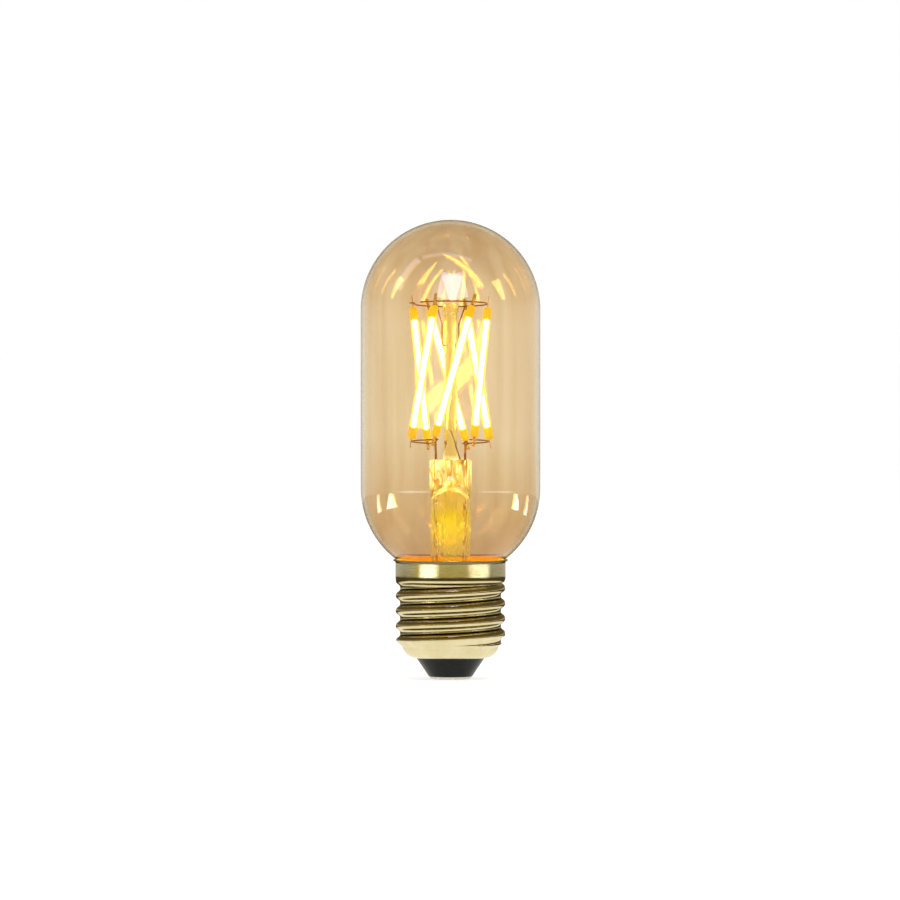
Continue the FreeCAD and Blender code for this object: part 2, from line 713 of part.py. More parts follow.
def inner_lead(side, angle, bus):
    """Nickel lead from the pinch to the inside of a lower bus wire, with the bead of its weld."""
    reach = LOWER_BUS_RADIUS - BUS_RADIUS - INNER_LEAD_RADIUS - SEAT
    foot = Vector(side * LEAD_OFFSET, 0, DUMET_TOP)
    knee = Vector(side * LEAD_OFFSET, 0, PINCH_TOP + LEAD_RISE)
    tip = ring_point(reach, angle, LOWER_RING_HEIGHT)
    lead = bent_rod([foot, knee, tip], LEAD_BEND, INNER_LEAD_RADIUS)
    bead = Part.makeSphere(WELD_RADIUS, tip)
    return lead.fuse(bead).removeSplitter().cut(bus)


def support_wire(turn, grow=0):
    """Bent wire from the column out to the upper ring. turn moves it round the column."""
    anchor = Vector(0, 0, UPPER_RING_HEIGHT - SUPPORT_BELOW_RING)
    ring_angle = top_angle(FILAMENT_COUNT - 1) + turn
    outward = radial(ring_angle - SUPPORT_TURN_FROM_RING)
    reach = UPPER_BUS_RADIUS - BUS_RADIUS - SEAT
    elbow = anchor + outward * SUPPORT_REACH
    points = [
        anchor + outward * (COLUMN_RADIUS - SUPPORT_DEPTH),
        elbow,
        elbow + Vector(0, 0, SUPPORT_STRAIGHT),
        ring_point(reach, ring_angle, UPPER_RING_HEIGHT),
    ]
    return bent_rod(points, SUPPORT_BEND, SUPPORT_RADIUS + grow)


def brace_wire(grow=0):
    """Thin straight wire from the top of the pinch to the front of the column."""
    foot = Vector(BRACE_FOOT_X, BRACE_FOOT_Y, PINCH_TOP - BRACE_FOOT_DEPTH)
    top = Vector(0, BRACE_TOP_DEPTH - COLUMN_RADIUS, PINCH_TOP + BRACE_TOP_ABOVE_PINCH)
    return rod(foot, top, BRACE_RADIUS + grow)


def driver_board():
    """Round board that rests on the insulator's rim, drilled for its wires."""
    board = Part.makeCylinder(BOARD_RADIUS, BOARD_THICKNESS, Vector(0, 0, BOARD_BOTTOM))
    return board.makeChamfer(BOARD_BEVEL, [board.Edges[0], board.Edges[2]])


def board_place(inset, angle):
    """Point on the board, inset from its edge, at an angle from +X."""
    turn = math.radians(angle)
    reach = BOARD_RADIUS - inset
    return Vector(reach * math.cos(turn), reach * math.sin(turn), BOARD_TOP)


def smoothing_capacitor():
    """Upright can with a rolled groove near its foot and a shallow cup in its top."""
    radius = CAPACITOR_RADIUS
    groove = CAPACITOR_GROOVE
    foot = CAPACITOR_GROOVE_HEIGHT
    cup_floor = CAPACITOR_HEIGHT - groove
    can = turned([
        (0, 0),
        (radius, 0, groove),
        (radius, foot - groove),
        (radius - groove, foot),
        (radius, foot + groove),
        (radius, CAPACITOR_HEIGHT, groove),
        (CAPACITOR_CUP_RADIUS, CAPACITOR_HEIGHT),
        (CAPACITOR_CUP_RADIUS, cup_floor),
        (0, cup_floor),
    ])
    can.translate(board_place(CAPACITOR_INSET, CAPACITOR_ANGLE))
    return can


def legged_package(size, place, legs):
    """Flat moulded package whose bent legs stand on the board along its two long sides."""
    width, depth, height = size
    lift = LEG_THICKNESS
    body = Part.makeBox(width, depth, height - lift, Vector(-width / 2, -depth / 2, lift))
    top_edges = [edge for edge in body.Edges if edge.BoundBox.ZMin > height - 1e-6]
    body = body.makeChamfer(PACKAGE_BEVEL, top_edges)
    pitch = width / legs
    shapes = []
    for side in (-1, 1):
        for leg in range(legs):
            x = (leg - (legs - 1) / 2) * pitch
            inner = side * (depth / 2 - LEG_THICKNESS)
            knee = side * (depth / 2 + LEG_REACH / 2)
            toe = side * (depth / 2 + LEG_REACH)
            outline = [
                (inner, height / 2), (knee, height / 2), (knee, LEG_THICKNESS), (toe, LEG_THICKNESS),
                (toe, 0), (knee - side * LEG_THICKNESS, 0),
                (knee - side * LEG_THICKNESS, height / 2 - LEG_THICKNESS),
                (inner, height / 2 - LEG_THICKNESS), (inner, height / 2),
            ]
            points = [Vector(x - LEG_WIDTH / 2, y, z) for y, z in outline]
            face = Part.Face(Part.makePolygon(points))
            shapes.append(outward_facing(face.extrude(Vector(LEG_WIDTH, 0, 0))))
    package = body.fuse(shapes)
    package.translate(place)
    return package


def fusible_resistor():
    """Axial resistor lying above the board on its two bent leads."""
    half = RESISTOR_LENGTH / 2
    end_start = half - RESISTOR_END_LENGTH
    waist_end = end_start - RESISTOR_END_SLOPE
    waist = RESISTOR_RADIUS - RESISTOR_WAIST_DEPTH
    lead_x = half + RESISTOR_LEAD_REACH
    body = turned([
        (0, -half),
        (RESISTOR_RADIUS, -half, RESISTOR_ROUNDING),
        (RESISTOR_RADIUS, -end_start, RESISTOR_ROUNDING),
        (waist, -waist_end, RESISTOR_ROUNDING),
        (waist, waist_end, RESISTOR_ROUNDING),
        (RESISTOR_RADIUS, end_start, RESISTOR_ROUNDING),
        (RESISTOR_RADIUS, half, RESISTOR_ROUNDING),
        (0, half),
    ])
    body.rotate(Vector(0, 0, 0), Vector(0, 1, 0), 90)
    leads = []
    for side in (-1, 1):
        points = [
            Vector(side * (half - RESISTOR_LEAD_DEPTH), 0, 0),
            Vector(side * lead_x, 0, 0),
            Vector(side * lead_x, 0, -RESISTOR_RISE),
        ]
        leads.append(bent_rod(points, RESISTOR_LEAD_BEND, RESISTOR_LEAD_RADIUS))
    resistor = body.fuse(leads)
    lift = Vector(0, 0, RESISTOR_RISE)
    resistor.translate(board_place(RESISTOR_INSET, RESISTOR_ANGLE) + lift)
    return resistor


def contact_wire():
    """Straight wire from the contact's solder up to the board."""
    start = Vector(0, 0, SOLDER_RECESS + SOLDER_HEIGHT)
    return rod(start, Vector(0, 0, BOARD_BOTTOM), CONTACT_WIRE_RADIUS)


def shell_wire():
    """Wire from the back of the board up and out to an inner root of the cap's thread."""
    quarter_turn = THREAD_PITCH / 4
    touch_height = CREST_HEIGHT_AT_SIDE + quarter_turn + THREAD_PITCH / 2
    inside = CORE_RADIUS - SHEET - SEAT
    stand = BOARD_RADIUS - SHELL_WIRE_INSET
    points = [
        Vector(0, stand, BOARD_TOP),
        Vector(0, stand, touch_height),
        Vector(0, inside, touch_height),
    ]
    return bent_rod(points, SHELL_WIRE_BEND, SHELL_WIRE_RADIUS)


def lead_segment(side, low, high, radius):
    return rod(Vector(side * LEAD_OFFSET, 0, low), Vector(side * LEAD_OFFSET, 0, high), radius)


def build_nodes():
    """Every piece of the bulb by its name."""
    rectifier_place = board_place(RECTIFIER_INSET, RECTIFIER_ANGLE)
    chip_place = board_place(CHIP_INSET, CHIP_ANGLE)
    nodes = {
        "glass_envelope": glass_envelope(),
        "stem_flare": stem_flare(),
        "exhaust_tube": exhaust_tube(),
        "center_column": center_column(),
        "cap_shell": cap_shell(),
        "cap_insulator": cap_insulator(),
        "center_contact": center_contact(),
        "contact_solder": contact_solder(),
        "capping_cement": capping_cement(),
        "upper_bus_ring": upper_bus_ring(),
        "lower_bus_left": lower_bus(4, 6),
        "lower_bus_right": lower_bus(1, 3),
        "inner_lead_left": inner_lead(-1, bottom_angle(0), lower_bus(4, 6, SEAT)),
        "inner_lead_right": inner_lead(1, bottom_angle(3), lower_bus(1, 3, SEAT)),
        "upper_support_front": support_wire(0),
        "upper_support_rear": support_wire(180),
        "column_brace_wire": brace_wire(),
        "driver_board": driver_board(),
        "smoothing_capacitor": smoothing_capacitor(),
        "bridge_rectifier": legged_package(RECTIFIER_SIZE, rectifier_place, RECTIFIER_LEGS),
        "driver_chip": legged_package(CHIP_SIZE, chip_place, CHIP_LEGS),
        "fusible_resistor": fusible_resistor(),
        "contact_wire": contact_wire(),
        "shell_wire": shell_wire(),
    }
    for name, side in (("left", -1), ("right", 1)):
        nodes["dumet_seal_" + name] = lead_segment(side, DUMET_BOTTOM, DUMET_TOP, DUMET_RADIUS)
        nodes["outer_lead_" + name] = lead_segment(side, BOARD_TOP, DUMET_BOTTOM, OUTER_LEAD_RADIUS)
    for index in range(FILAMENT_COUNT):
        name = "filament_%d" % (index + 1)
        nodes[name] = filament(index)
        nodes[name + "_bottom_tab"] = bottom_tab(index)
        nodes[name + "_top_tab"] = top_tab(index)
    return nodes


os.makedirs("parts", exist_ok=True)
for node_name, shape in build_nodes().items():
    shape.exportStep("parts/%s.step" % node_name)
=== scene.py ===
import math

import bmesh
import bpy
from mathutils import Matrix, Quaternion, Vector, noise


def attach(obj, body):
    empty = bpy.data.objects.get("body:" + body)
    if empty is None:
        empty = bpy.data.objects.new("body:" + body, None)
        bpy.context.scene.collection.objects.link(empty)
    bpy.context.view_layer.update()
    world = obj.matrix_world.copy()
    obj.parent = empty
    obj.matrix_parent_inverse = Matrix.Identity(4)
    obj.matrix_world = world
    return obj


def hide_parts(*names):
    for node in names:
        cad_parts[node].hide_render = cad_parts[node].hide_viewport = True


bl_info = {
    "name": "Tubular Filament Bulb",
    "version": (1, 0, 0),
    "blender": (4, 5, 0),
    "location": "View3D > Sidebar > Bulb",
    "description": "Dresses a lit tubular bulb: glass, brass screw cap, light strips and stage",
    "category": "Add Mesh",
}

# Metres, Z up, the bulb's contact on the floor and its front towards -Y
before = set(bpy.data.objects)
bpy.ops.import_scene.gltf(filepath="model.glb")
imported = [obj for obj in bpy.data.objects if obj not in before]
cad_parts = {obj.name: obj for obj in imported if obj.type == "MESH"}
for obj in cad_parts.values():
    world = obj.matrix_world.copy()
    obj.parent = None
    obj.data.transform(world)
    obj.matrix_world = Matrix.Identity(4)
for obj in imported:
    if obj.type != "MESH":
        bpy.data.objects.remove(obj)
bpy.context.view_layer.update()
BODY = "root"
MM = 0.001
MATH = "ShaderNodeMath"
# A radius under this counts as a place on the axis
ON_AXIS = 1e-7


def linear(hex_colour):
    """Linear RGBA of an sRGB colour written as six hex digits."""
    def channel(text):
        value = int(text, 16) / 255
        return value / 12.92 if value <= 0.04045 else ((value + 0.055) / 1.055) ** 2.4
    return tuple(channel(hex_colour[i:i + 2]) for i in (0, 2, 4)) + (1.0,)


def add(tree, kind, inputs=(), stops=(), **settings):
    """Adds a node with its settings.

    Inputs are nodes, sockets or plain values, by place or name. Stops are the (position, hex
    colour) pairs of a colour ramp."""
    node = tree.nodes.new(kind)
    for name, value in settings.items():
        setattr(node, name, value)
    for _ in stops[2:]:
        node.color_ramp.elements.new(0.5)
    for number, (place, colour) in enumerate(stops):
        node.color_ramp.elements[number].position = place
        node.color_ramp.elements[number].color = linear(colour)
    pairs = inputs.items() if isinstance(inputs, dict) else enumerate(inputs)
    for key, value in pairs:
        if isinstance(value, bpy.types.Node):
            value = value.outputs[0]
        if isinstance(value, bpy.types.NodeSocket):
            tree.links.new(value, node.inputs[key])
        else:
            node.inputs[key].default_value = value
    return node


def new_material(name):
    """Empty node material and its tree."""
    material = bpy.data.materials.new(name)
    material.use_nodes = True
    material.node_tree.nodes.clear()
    return material, material.node_tree


def per_mm(size):
    """Noise scale whose grain is about size millimetres."""
    return 1 / (size * MM)


def let_light_through(tree, glass, colour):
    """Ends a glass that casts only a pale tinted shadow, so that light reaches what is inside."""
    open_way = add(tree, "ShaderNodeBsdfTransparent", {"Color": linear(colour)})
    shadow = add(tree, "ShaderNodeLightPath").outputs["Is Shadow Ray"]
    shader = add(tree, "ShaderNodeMixShader", [shadow, glass, open_way])
    add(tree, "ShaderNodeOutputMaterial", [shader])


def amber_glass():
    """Soda-lime glass, blown, with an amber lustre fired on: it warms what is behind it.

    The lustre lies thicker towards the dome and the neck, so the glass is deeper there."""
    material, tree = new_material("amber_lustre_glass")
    place = add(tree, "ShaderNodeTexCoord").outputs["Object"]
    height = add(tree, "ShaderNodeSeparateXYZ", [place]).outputs["Z"]
    drift = add(tree, "ShaderNodeTexNoise", {"Vector": place, "Scale": per_mm(18), "Detail": 2.0})
    shift = add(tree, MATH, [drift.outputs["Fac"], 12 * MM, height], operation="MULTIPLY_ADD")
    level = add(tree, "ShaderNodeMapRange", {
        "Value": shift, "From Min": 25 * MM, "From Max": 116 * MM})
    tint = add(tree, "ShaderNodeValToRGB", [level], stops=[
        (0.0, "d8b27e"), (0.24, "ead6b7"), (0.45, "f4e6cd"), (0.72, "f4e5cc"), (1.0, "ebd6b5")])
    # Faint lines down the tube, left by the drawing of the glass
    drawn = add(tree, "ShaderNodeMapping", {"Vector": place, "Scale": (1, 1, 0.06)})
    streak = add(tree, "ShaderNodeTexNoise", {"Vector": drawn, "Scale": per_mm(5), "Detail": 2.0})
    streaks = add(tree, "ShaderNodeValToRGB", [streak], stops=[
        (0.40, "f8f3ed"), (0.56, "ffffff")])
    tint = add(tree, "ShaderNodeMix", {0: 1.0, 6: tint, 7: streaks},
               data_type="RGBA", blend_type="MULTIPLY").outputs[2]
    # The lustre on the inner face mirrors more than bare glass does, and in gold
    inner = add(tree, "ShaderNodeAttribute", attribute_name="inner").outputs["Fac"]
    lustre = add(tree, "ShaderNodeMix", {
        0: inner, 6: (1, 1, 1, 1), 7: (2.3, 1.55, 0.05, 1)}, data_type="RGBA")
    glass = add(tree, "ShaderNodeBsdfPrincipled", {
        "Base Color": tint, "Roughness": 0.0, "IOR": 1.5, "Transmission Weight": 1.0,
        "Specular Tint": lustre.outputs[2]})
    let_light_through(tree, glass, "f5ebdb")
    return material


def stem_glass():
    """Lead-free stem glass, drawn and pressed hot: clear, with the strips' light painted into it
    as a yellow tint and glow.

    The pinch has painted shade lines along its folds and painted bright sparks; the flare below it
    has a painted deep-yellow glow."""
    material, tree = new_material("pressed_stem_glass")
    place = add(tree, "ShaderNodeTexCoord").outputs["Object"]
    height = add(tree, "ShaderNodeSeparateXYZ", [place]).outputs["Z"]
    level = add(tree, "ShaderNodeMapRange", {
        "Value": height, "From Min": 24 * MM, "From Max": 64 * MM}).outputs["Result"]
    # Painted light: the yellow of this tint stands in for the strips' light caught in the stem
    tint = add(tree, "ShaderNodeValToRGB", [level], stops=[
        (0.1, "f2eeca"), (0.28, "f8f080"), (0.37, "f8f090"), (0.46, "f8ecb4"),
        (0.72, "fdf0b0"), (1.0, "fff4b4")])
    pinch = add(tree, "ShaderNodeValToRGB", [level], stops=[
        (0.53, "000000"), (0.57, "ffffff"), (0.70, "ffffff"), (0.74, "000000")])
    stretched = add(tree, "ShaderNodeMapping", {"Vector": place, "Scale": (1, 1, 0.35)})
    melt = add(tree, "ShaderNodeTexNoise", {"Vector": stretched, "Scale": per_mm(1.6)})
    bump = add(tree, "ShaderNodeBump", {
        "Height": melt.outputs["Fac"], "Strength": 0.6, "Distance": 0.5 * MM})
    # Painted shade: brown lines along the folds of the pinch
    folds = add(tree, "ShaderNodeTexNoise", {
        "Vector": stretched, "Scale": per_mm(3.0), "Detail": 1.0, "Distortion": 1.0})
    lines = add(tree, "ShaderNodeValToRGB", [folds.outputs["Fac"]], stops=[
        (0.43, "ffffff"), (0.47, "c8843c"), (0.50, "8c4c16"), (0.54, "ffffff")])
    folded = add(tree, "ShaderNodeMix", {0: pinch, 6: tint, 7: lines}, data_type="RGBA")
    # Painted highlights and glow: bright sparks in the pinch and a deep-yellow glow in the glass
    # below it, as emission
    sparks = add(tree, "ShaderNodeTexNoise", {
        "Vector": stretched, "Scale": per_mm(2.0), "Detail": 1.5, "Roughness": 0.5})
    painted_spark_colour = add(tree, "ShaderNodeValToRGB", [sparks.outputs["Fac"]], stops=[
        (0.40, "6c5800"), (0.50, "d0b400"), (0.57, "fff070"), (0.64, "ffffff")])
    below = add(tree, "ShaderNodeValToRGB", [level], stops=[
        (0.1, "545024"), (0.20, "605c20"), (0.28, "686a00"), (0.36, "626400"),
        (0.44, "525434"), (0.80, "403c00")])
    glow = add(tree, "ShaderNodeMix", {0: pinch, 6: below, 7: painted_spark_colour}, data_type="RGBA")
    glass = add(tree, "ShaderNodeBsdfPrincipled", {
        "Base Color": folded.outputs[2], "Roughness": 0.0, "IOR": 1.5,
        "Transmission Weight": 1.0, "Normal": bump,
        "Emission Color": glow.outputs[2], "Emission Strength": 0.75})
    let_light_through(tree, glass, "fff9e8")
    return material


def lit_chips(light):
    """Row of lit chips on the ceramic strip: warm white, too bright for the eye to look into."""
    material, tree = new_material("lit_chip_row")
    place = add(tree, "ShaderNodeTexCoord").outputs["Object"]
    spread = add(tree, "ShaderNodeTexNoise", {"Vector": place, "Scale": per_mm(1.2)})
    strength = add(tree, "ShaderNodeMapRange", {
        "Value": spread.outputs["Fac"], "From Min": 0.3, "From Max": 0.7,
        "To Min": 20.0, "To Max": 24.0})
    body = add(tree, "ShaderNodeBsdfPrincipled", {
        "Base Color": linear("f2ead0"), "Roughness": 0.6,
        "Emission Color": light, "Emission Strength": strength})
    add(tree, "ShaderNodeOutputMaterial", [body])
    return material


def phosphor_silicone(glow):
    """Soft silicone with yellow phosphor over the chips: glowing yellow, amber where it is unlit.

    It lets the light of the chips through along the lit run, and is dense at its two ends."""
    material, tree = new_material("phosphor_silicone")
    along = add(tree, "ShaderNodeAttribute", attribute_name="along").outputs["Fac"]
    rise = add(tree, "ShaderNodeMapRange", {
        "Value": along, "From Min": 0.076, "From Max": 0.098}, interpolation_type="SMOOTHSTEP")
    fall = add(tree, "ShaderNodeMapRange", {
        "Value": along, "From Min": 0.900, "From Max": 0.922, "To Min": 1.0, "To Max": 0.0},
        interpolation_type="SMOOTHSTEP")
    lit = add(tree, MATH, [rise.outputs["Result"], fall.outputs["Result"]], operation="MULTIPLY")
    place = add(tree, "ShaderNodeTexCoord").outputs["Object"]
    grain = add(tree, "ShaderNodeTexNoise", {"Vector": place, "Scale": per_mm(0.5)})
    uneven = add(tree, MATH, [grain.outputs["Fac"], 0.24, 0.50], operation="MULTIPLY_ADD")
    strength = add(tree, MATH, [lit, 0.10, uneven], operation="MULTIPLY_ADD")
    dense = add(tree, "ShaderNodeMapRange", {"Value": lit, "To Min": 0.94, "To Max": 0.60})
    body = add(tree, "ShaderNodeBsdfPrincipled", {
        "Base Color": linear("c48a0c"), "Roughness": 0.5, "IOR": 1.41,
        "Alpha": dense, "Emission Color": glow, "Emission Strength": strength})
    add(tree, "ShaderNodeOutputMaterial", [body])
    return material


def brass():
    """Rolled brass sheet, passivated: pale yellow and satin, with painted shade under the lip and
    along the thread.
    """
    material, tree = new_material("passivated_rolled_brass")
    place = add(tree, "ShaderNodeTexCoord").outputs["Object"]
    blotch = add(tree, "ShaderNodeTexNoise", {
        "Vector": place, "Scale": per_mm(5), "Detail": 4.0, "Roughness": 0.6})
    colour = add(tree, "ShaderNodeValToRGB", [blotch], stops=[
        (0.3, "e4d8aa"), (0.7, "f1e8c4")])
    # Painted shade: a brown band in the crease under the flared lip
    height = add(tree, "ShaderNodeSeparateXYZ", [place]).outputs["Z"]
    level = add(tree, "ShaderNodeMapRange", {
        "Value": height, "From Min": 27.9 * MM, "From Max": 28.9 * MM}).outputs["Result"]
    painted_lip_shade = add(tree, "ShaderNodeValToRGB", [level], stops=[
        (0.16, "ffffff"), (0.24, "5c4a2a"), (0.50, "5c4a2a"), (0.58, "ffffff")])
    colour = add(tree, "ShaderNodeMix", {0: 1.0, 6: colour, 7: painted_lip_shade},
                 data_type="RGBA", blend_type="MULTIPLY").outputs[2]
    # Painted shade too: a dark line along the thread, above each crest and close to the root
    flank = add(tree, "ShaderNodeAttribute", attribute_name="flank").outputs["Fac"]
    painted_thread_shade = add(tree, "ShaderNodeValToRGB", [flank], stops=[
        (0.27, "ffffff"), (0.32, "241c0c"), (0.39, "241c0c"), (0.44, "ffffff")])
    colour = add(tree, "ShaderNodeMix", {0: 1.0, 6: colour, 7: painted_thread_shade},
                 data_type="RGBA", blend_type="MULTIPLY").outputs[2]
    stretched = add(tree, "ShaderNodeMapping", {"Vector": place, "Scale": (1, 1, 14)})
    scratch = add(tree, "ShaderNodeTexNoise", {
        "Vector": stretched, "Scale": per_mm(2.5), "Detail": 6.0, "Roughness": 0.7})
    rough = add(tree, "ShaderNodeMapRange", {
        "Value": scratch.outputs["Fac"], "From Min": 0.3, "From Max": 0.7,
        "To Min": 0.06, "To Max": 0.15})
    bump = add(tree, "ShaderNodeBump", {
        "Height": scratch.outputs["Fac"], "Strength": 0.10, "Distance": 0.05 * MM})
    metal = add(tree, "ShaderNodeBsdfPrincipled", {
        "Base Color": colour, "Metallic": 1.0, "Roughness": rough.outputs["Result"],
        "Normal": bump})
    add(tree, "ShaderNodeOutputMaterial", [metal])
    return material


def mottled(name, low, high, roughness, grain, metallic=0.0, bump_depth=0.0, glow=None,
            specular=0.5):
    """Surface whose colour drifts between two shades in grains of the given size."""
    material, tree = new_material(name)
    place = add(tree, "ShaderNodeTexCoord").outputs["Object"]
    grains = add(tree, "ShaderNodeTexNoise", {
        "Vector": place, "Scale": per_mm(grain), "Detail": 5.0, "Roughness": 0.6})
    colour = add(tree, "ShaderNodeValToRGB", [grains], stops=[(0.3, low), (0.7, high)])
    rough = add(tree, "ShaderNodeMapRange", {
        "Value": grains.outputs["Fac"], "From Min": 0.3, "From Max": 0.7,
        "To Min": roughness[0], "To Max": roughness[1]})
    settings = {"Base Color": colour, "Metallic": metallic, "Roughness": rough.outputs["Result"],
                "Specular IOR Level": specular}
    if bump_depth:
        settings["Normal"] = add(tree, "ShaderNodeBump", {
            "Height": grains.outputs["Fac"], "Strength": 0.5, "Distance": bump_depth * MM})
    if glow:
        settings["Emission Color"] = linear(glow[0])
        settings["Emission Strength"] = glow[1]
    body = add(tree, "ShaderNodeBsdfPrincipled", settings)
    add(tree, "ShaderNodeOutputMaterial", [body])
    return material


def dress(material, *nodes):
    """Gives CAD nodes their finish."""
    for name in nodes:
        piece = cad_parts[name]
        piece.data.materials.clear()
        piece.data.materials.append(material)


def arc(centre, radius, start, end, steps):
    """Points along an arc, from start to end in degrees, as (radius, height) or (x, y)."""
    points = []
    for step in range(steps + 1):
        turn = math.radians(start + (end - start) * step / steps)
        points.append((centre[0] + radius * math.cos(turn), centre[1] + radius * math.sin(turn)))
    return points


def run(start, end, steps):
    """Points strictly between two (radius, height) places."""
    return [tuple(a + (b - a) * step / steps for a, b in zip(start, end))
            for step in range(1, steps)]


def turned_mesh(name, outline, segments):
    """Closed mesh turned about Z from (radius, height) points, with one pole on the axis each."""
    mesh = bpy.data.meshes.new(name)
    form = bmesh.new()
    rings = []
    for radius, height in outline:
        if radius < ON_AXIS:
            rings.append([form.verts.new((0, 0, height))])
            continue
        rings.append([
            form.verts.new((radius * math.cos(math.tau * i / segments),
                            radius * math.sin(math.tau * i / segments), height))
            for i in range(segments)])
    for low, high in zip(rings, rings[1:] + rings[:1]):
        if len(low) == 1 and len(high) == 1:
            continue
        for i in range(segments):
            j = (i + 1) % segments
            if len(low) == 1:
                form.faces.new((low[0], high[j], high[i]))
            elif len(high) == 1:
                form.faces.new((low[i], low[j], high[0]))
            else:
                form.faces.new((low[i], low[j], high[j], high[i]))
    form.to_mesh(mesh)
    form.free()
    return mesh


def place_piece(name, mesh, material, slot, *replaced):
    """Shown piece on the bulb's one body, in place of the CAD nodes it stands for."""
    for polygon in mesh.polygons:
        polygon.use_smooth = True
    mesh.materials.clear()
    mesh.materials.append(material)
    piece = bpy.data.objects.new(name, mesh)
    bpy.context.scene.collection.objects.link(piece)
    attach(piece, BODY)
    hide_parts(*replaced)
    return piece


def shaped(mesh, tree, values):
    """The mesh after a Geometry Nodes tree with the given named inputs, as plain mesh."""
    maker = bpy.data.objects.new("maker", mesh)
    bpy.context.scene.collection.objects.link(maker)
    modifier = maker.modifiers.new("shape", "NODES")
    modifier.node_group = tree
    for item in tree.interface.items_tree:
        if item.in_out == "INPUT" and item.name in values:
            modifier[item.identifier] = values[item.name]
    bpy.context.view_layer.update()
    graph = bpy.context.evaluated_depsgraph_get()
    plain = bpy.data.meshes.new_from_object(maker.evaluated_get(graph), depsgraph=graph)
    bpy.data.objects.remove(maker)
    return plain


def new_tree(name, inputs):
    """Geometry Nodes tree with a geometry input and output, and inputs of (name, kind)."""
    tree = bpy.data.node_groups.new(name, "GeometryNodeTree")
    tree.interface.new_socket("Geometry", in_out="OUTPUT", socket_type="NodeSocketGeometry")
    tree.interface.new_socket("Geometry", in_out="INPUT", socket_type="NodeSocketGeometry")
    for label, kind in inputs:
        tree.interface.new_socket(label, in_out="INPUT", socket_type="NodeSocket" + kind)
    return tree, add(tree, "NodeGroupInput")


def close_tree(tree, geometry, given):
    """Realizes the geometry, gives it its material and joins it to the output."""
    real = add(tree, "GeometryNodeRealizeInstances", [geometry])
    painted = add(tree, "GeometryNodeSetMaterial", {
        "Geometry": real, "Material": given.outputs["Material"]})
    add(tree, "NodeGroupOutput", [painted])


class GlassSettings(bpy.types.PropertyGroup):
    radius: bpy.props.FloatProperty(
        name="Radius", description="Outer radius of the tube and its domed ends",
        default=21.5 * MM, unit="LENGTH", precision=5)
    wall: bpy.props.FloatProperty(
        name="Wall", description="Thickness of the blown wall",
        default=0.9 * MM, unit="LENGTH", precision=5)
    dome_centre: bpy.props.FloatProperty(
        name="Dome Centre", description="Height of the centre of the top dome",
        default=88.5 * MM, unit="LENGTH", precision=5)
    lower_centre: bpy.props.FloatProperty(
        name="Lower Centre", description="Height of the centre of the lower bowl",
        default=45.796 * MM, unit="LENGTH", precision=5)
    neck: bpy.props.FloatProperty(
        name="Neck", description="Outer radius of the neck inside the cap",
        default=11.534 * MM, unit="LENGTH", precision=5)
    fillet: bpy.props.FloatProperty(
        name="Neck Fillet", description="Rounding between the neck and the bowl",
        default=2.5 * MM, unit="LENGTH", precision=5)
    rim: bpy.props.FloatProperty(
        name="Rim Height", description="Height of the neck's open rim",
        default=19.0 * MM, unit="LENGTH", precision=5)
    segments: bpy.props.IntProperty(
        name="Segments", description="Steps round the glass", default=256, min=32)


class CapSettings(bpy.types.PropertyGroup):
    crest: bpy.props.FloatProperty(
        name="Crest Radius", description="Radius over the thread's crests",
        default=13.15 * MM, unit="LENGTH", precision=5)
    depth: bpy.props.FloatProperty(
        name="Thread Depth", description="From crest to root",
        default=1.096 * MM, unit="LENGTH", precision=5)
    pitch: bpy.props.FloatProperty(
        name="Pitch", description="Rise of the thread in one turn",
        default=3.629 * MM, unit="LENGTH", precision=5)
    sheet: bpy.props.FloatProperty(
        name="Sheet", description="Thickness of the rolled sheet",
        default=0.35 * MM, unit="LENGTH", precision=5)
    segments: bpy.props.IntProperty(
        name="Segments", description="Steps round the cap", default=256, min=32)
    rows: bpy.props.IntProperty(
        name="Rows", description="Steps up the cap", default=180, min=32)


class CageSettings(bpy.types.PropertyGroup):
    count: bpy.props.IntProperty(
        name="Strips", description="Number of light strips", default=6, min=1)
    lower_radius: bpy.props.FloatProperty(
        name="Lower Radius", description="Ring radius at the foot of the strips",
        default=9.5 * MM, unit="LENGTH", precision=5)
    upper_radius: bpy.props.FloatProperty(
        name="Upper Radius", description="Ring radius at the top of the strips",
        default=9.1 * MM, unit="LENGTH", precision=5)
    lower_height: bpy.props.FloatProperty(
        name="Lower Height", description="Height of the lower ring",
        default=56.95 * MM, unit="LENGTH", precision=5)
    upper_height: bpy.props.FloatProperty(
        name="Upper Height", description="Height of the upper ring",
        default=89.9 * MM, unit="LENGTH", precision=5)
    first_angle: bpy.props.FloatProperty(
        name="First Angle", description="Place of the first strip's foot, from the front",
        default=math.radians(-24.4), subtype="ANGLE")
    twist: bpy.props.FloatProperty(
        name="Twist", description="Turn from a strip's foot to its top",
        default=math.radians(60.6), subtype="ANGLE")
    tilt: bpy.props.FloatProperty(
        name="Tilt", description="Lean of the rings, higher at the front",
        default=math.radians(4.0), subtype="ANGLE")
    width: bpy.props.FloatProperty(
        name="Coat Width", description="Width of the phosphor coat",
        default=1.9 * MM, unit="LENGTH", precision=5)
    thickness: bpy.props.FloatProperty(
        name="Coat Thickness", description="Thickness of the phosphor coat",
        default=1.65 * MM, unit="LENGTH", precision=5)
    light: bpy.props.FloatVectorProperty(
        name="Light", description="Colour of the light that the chips give",
        default=linear("f8ee8c"), size=4, subtype="COLOR", min=0.0, max=1.0)
    glow: bpy.props.FloatVectorProperty(
        name="Coat Glow", description="Colour in which the phosphor coat glows",
        default=linear("ffd900"), size=4, subtype="COLOR", min=0.0, max=1.0)


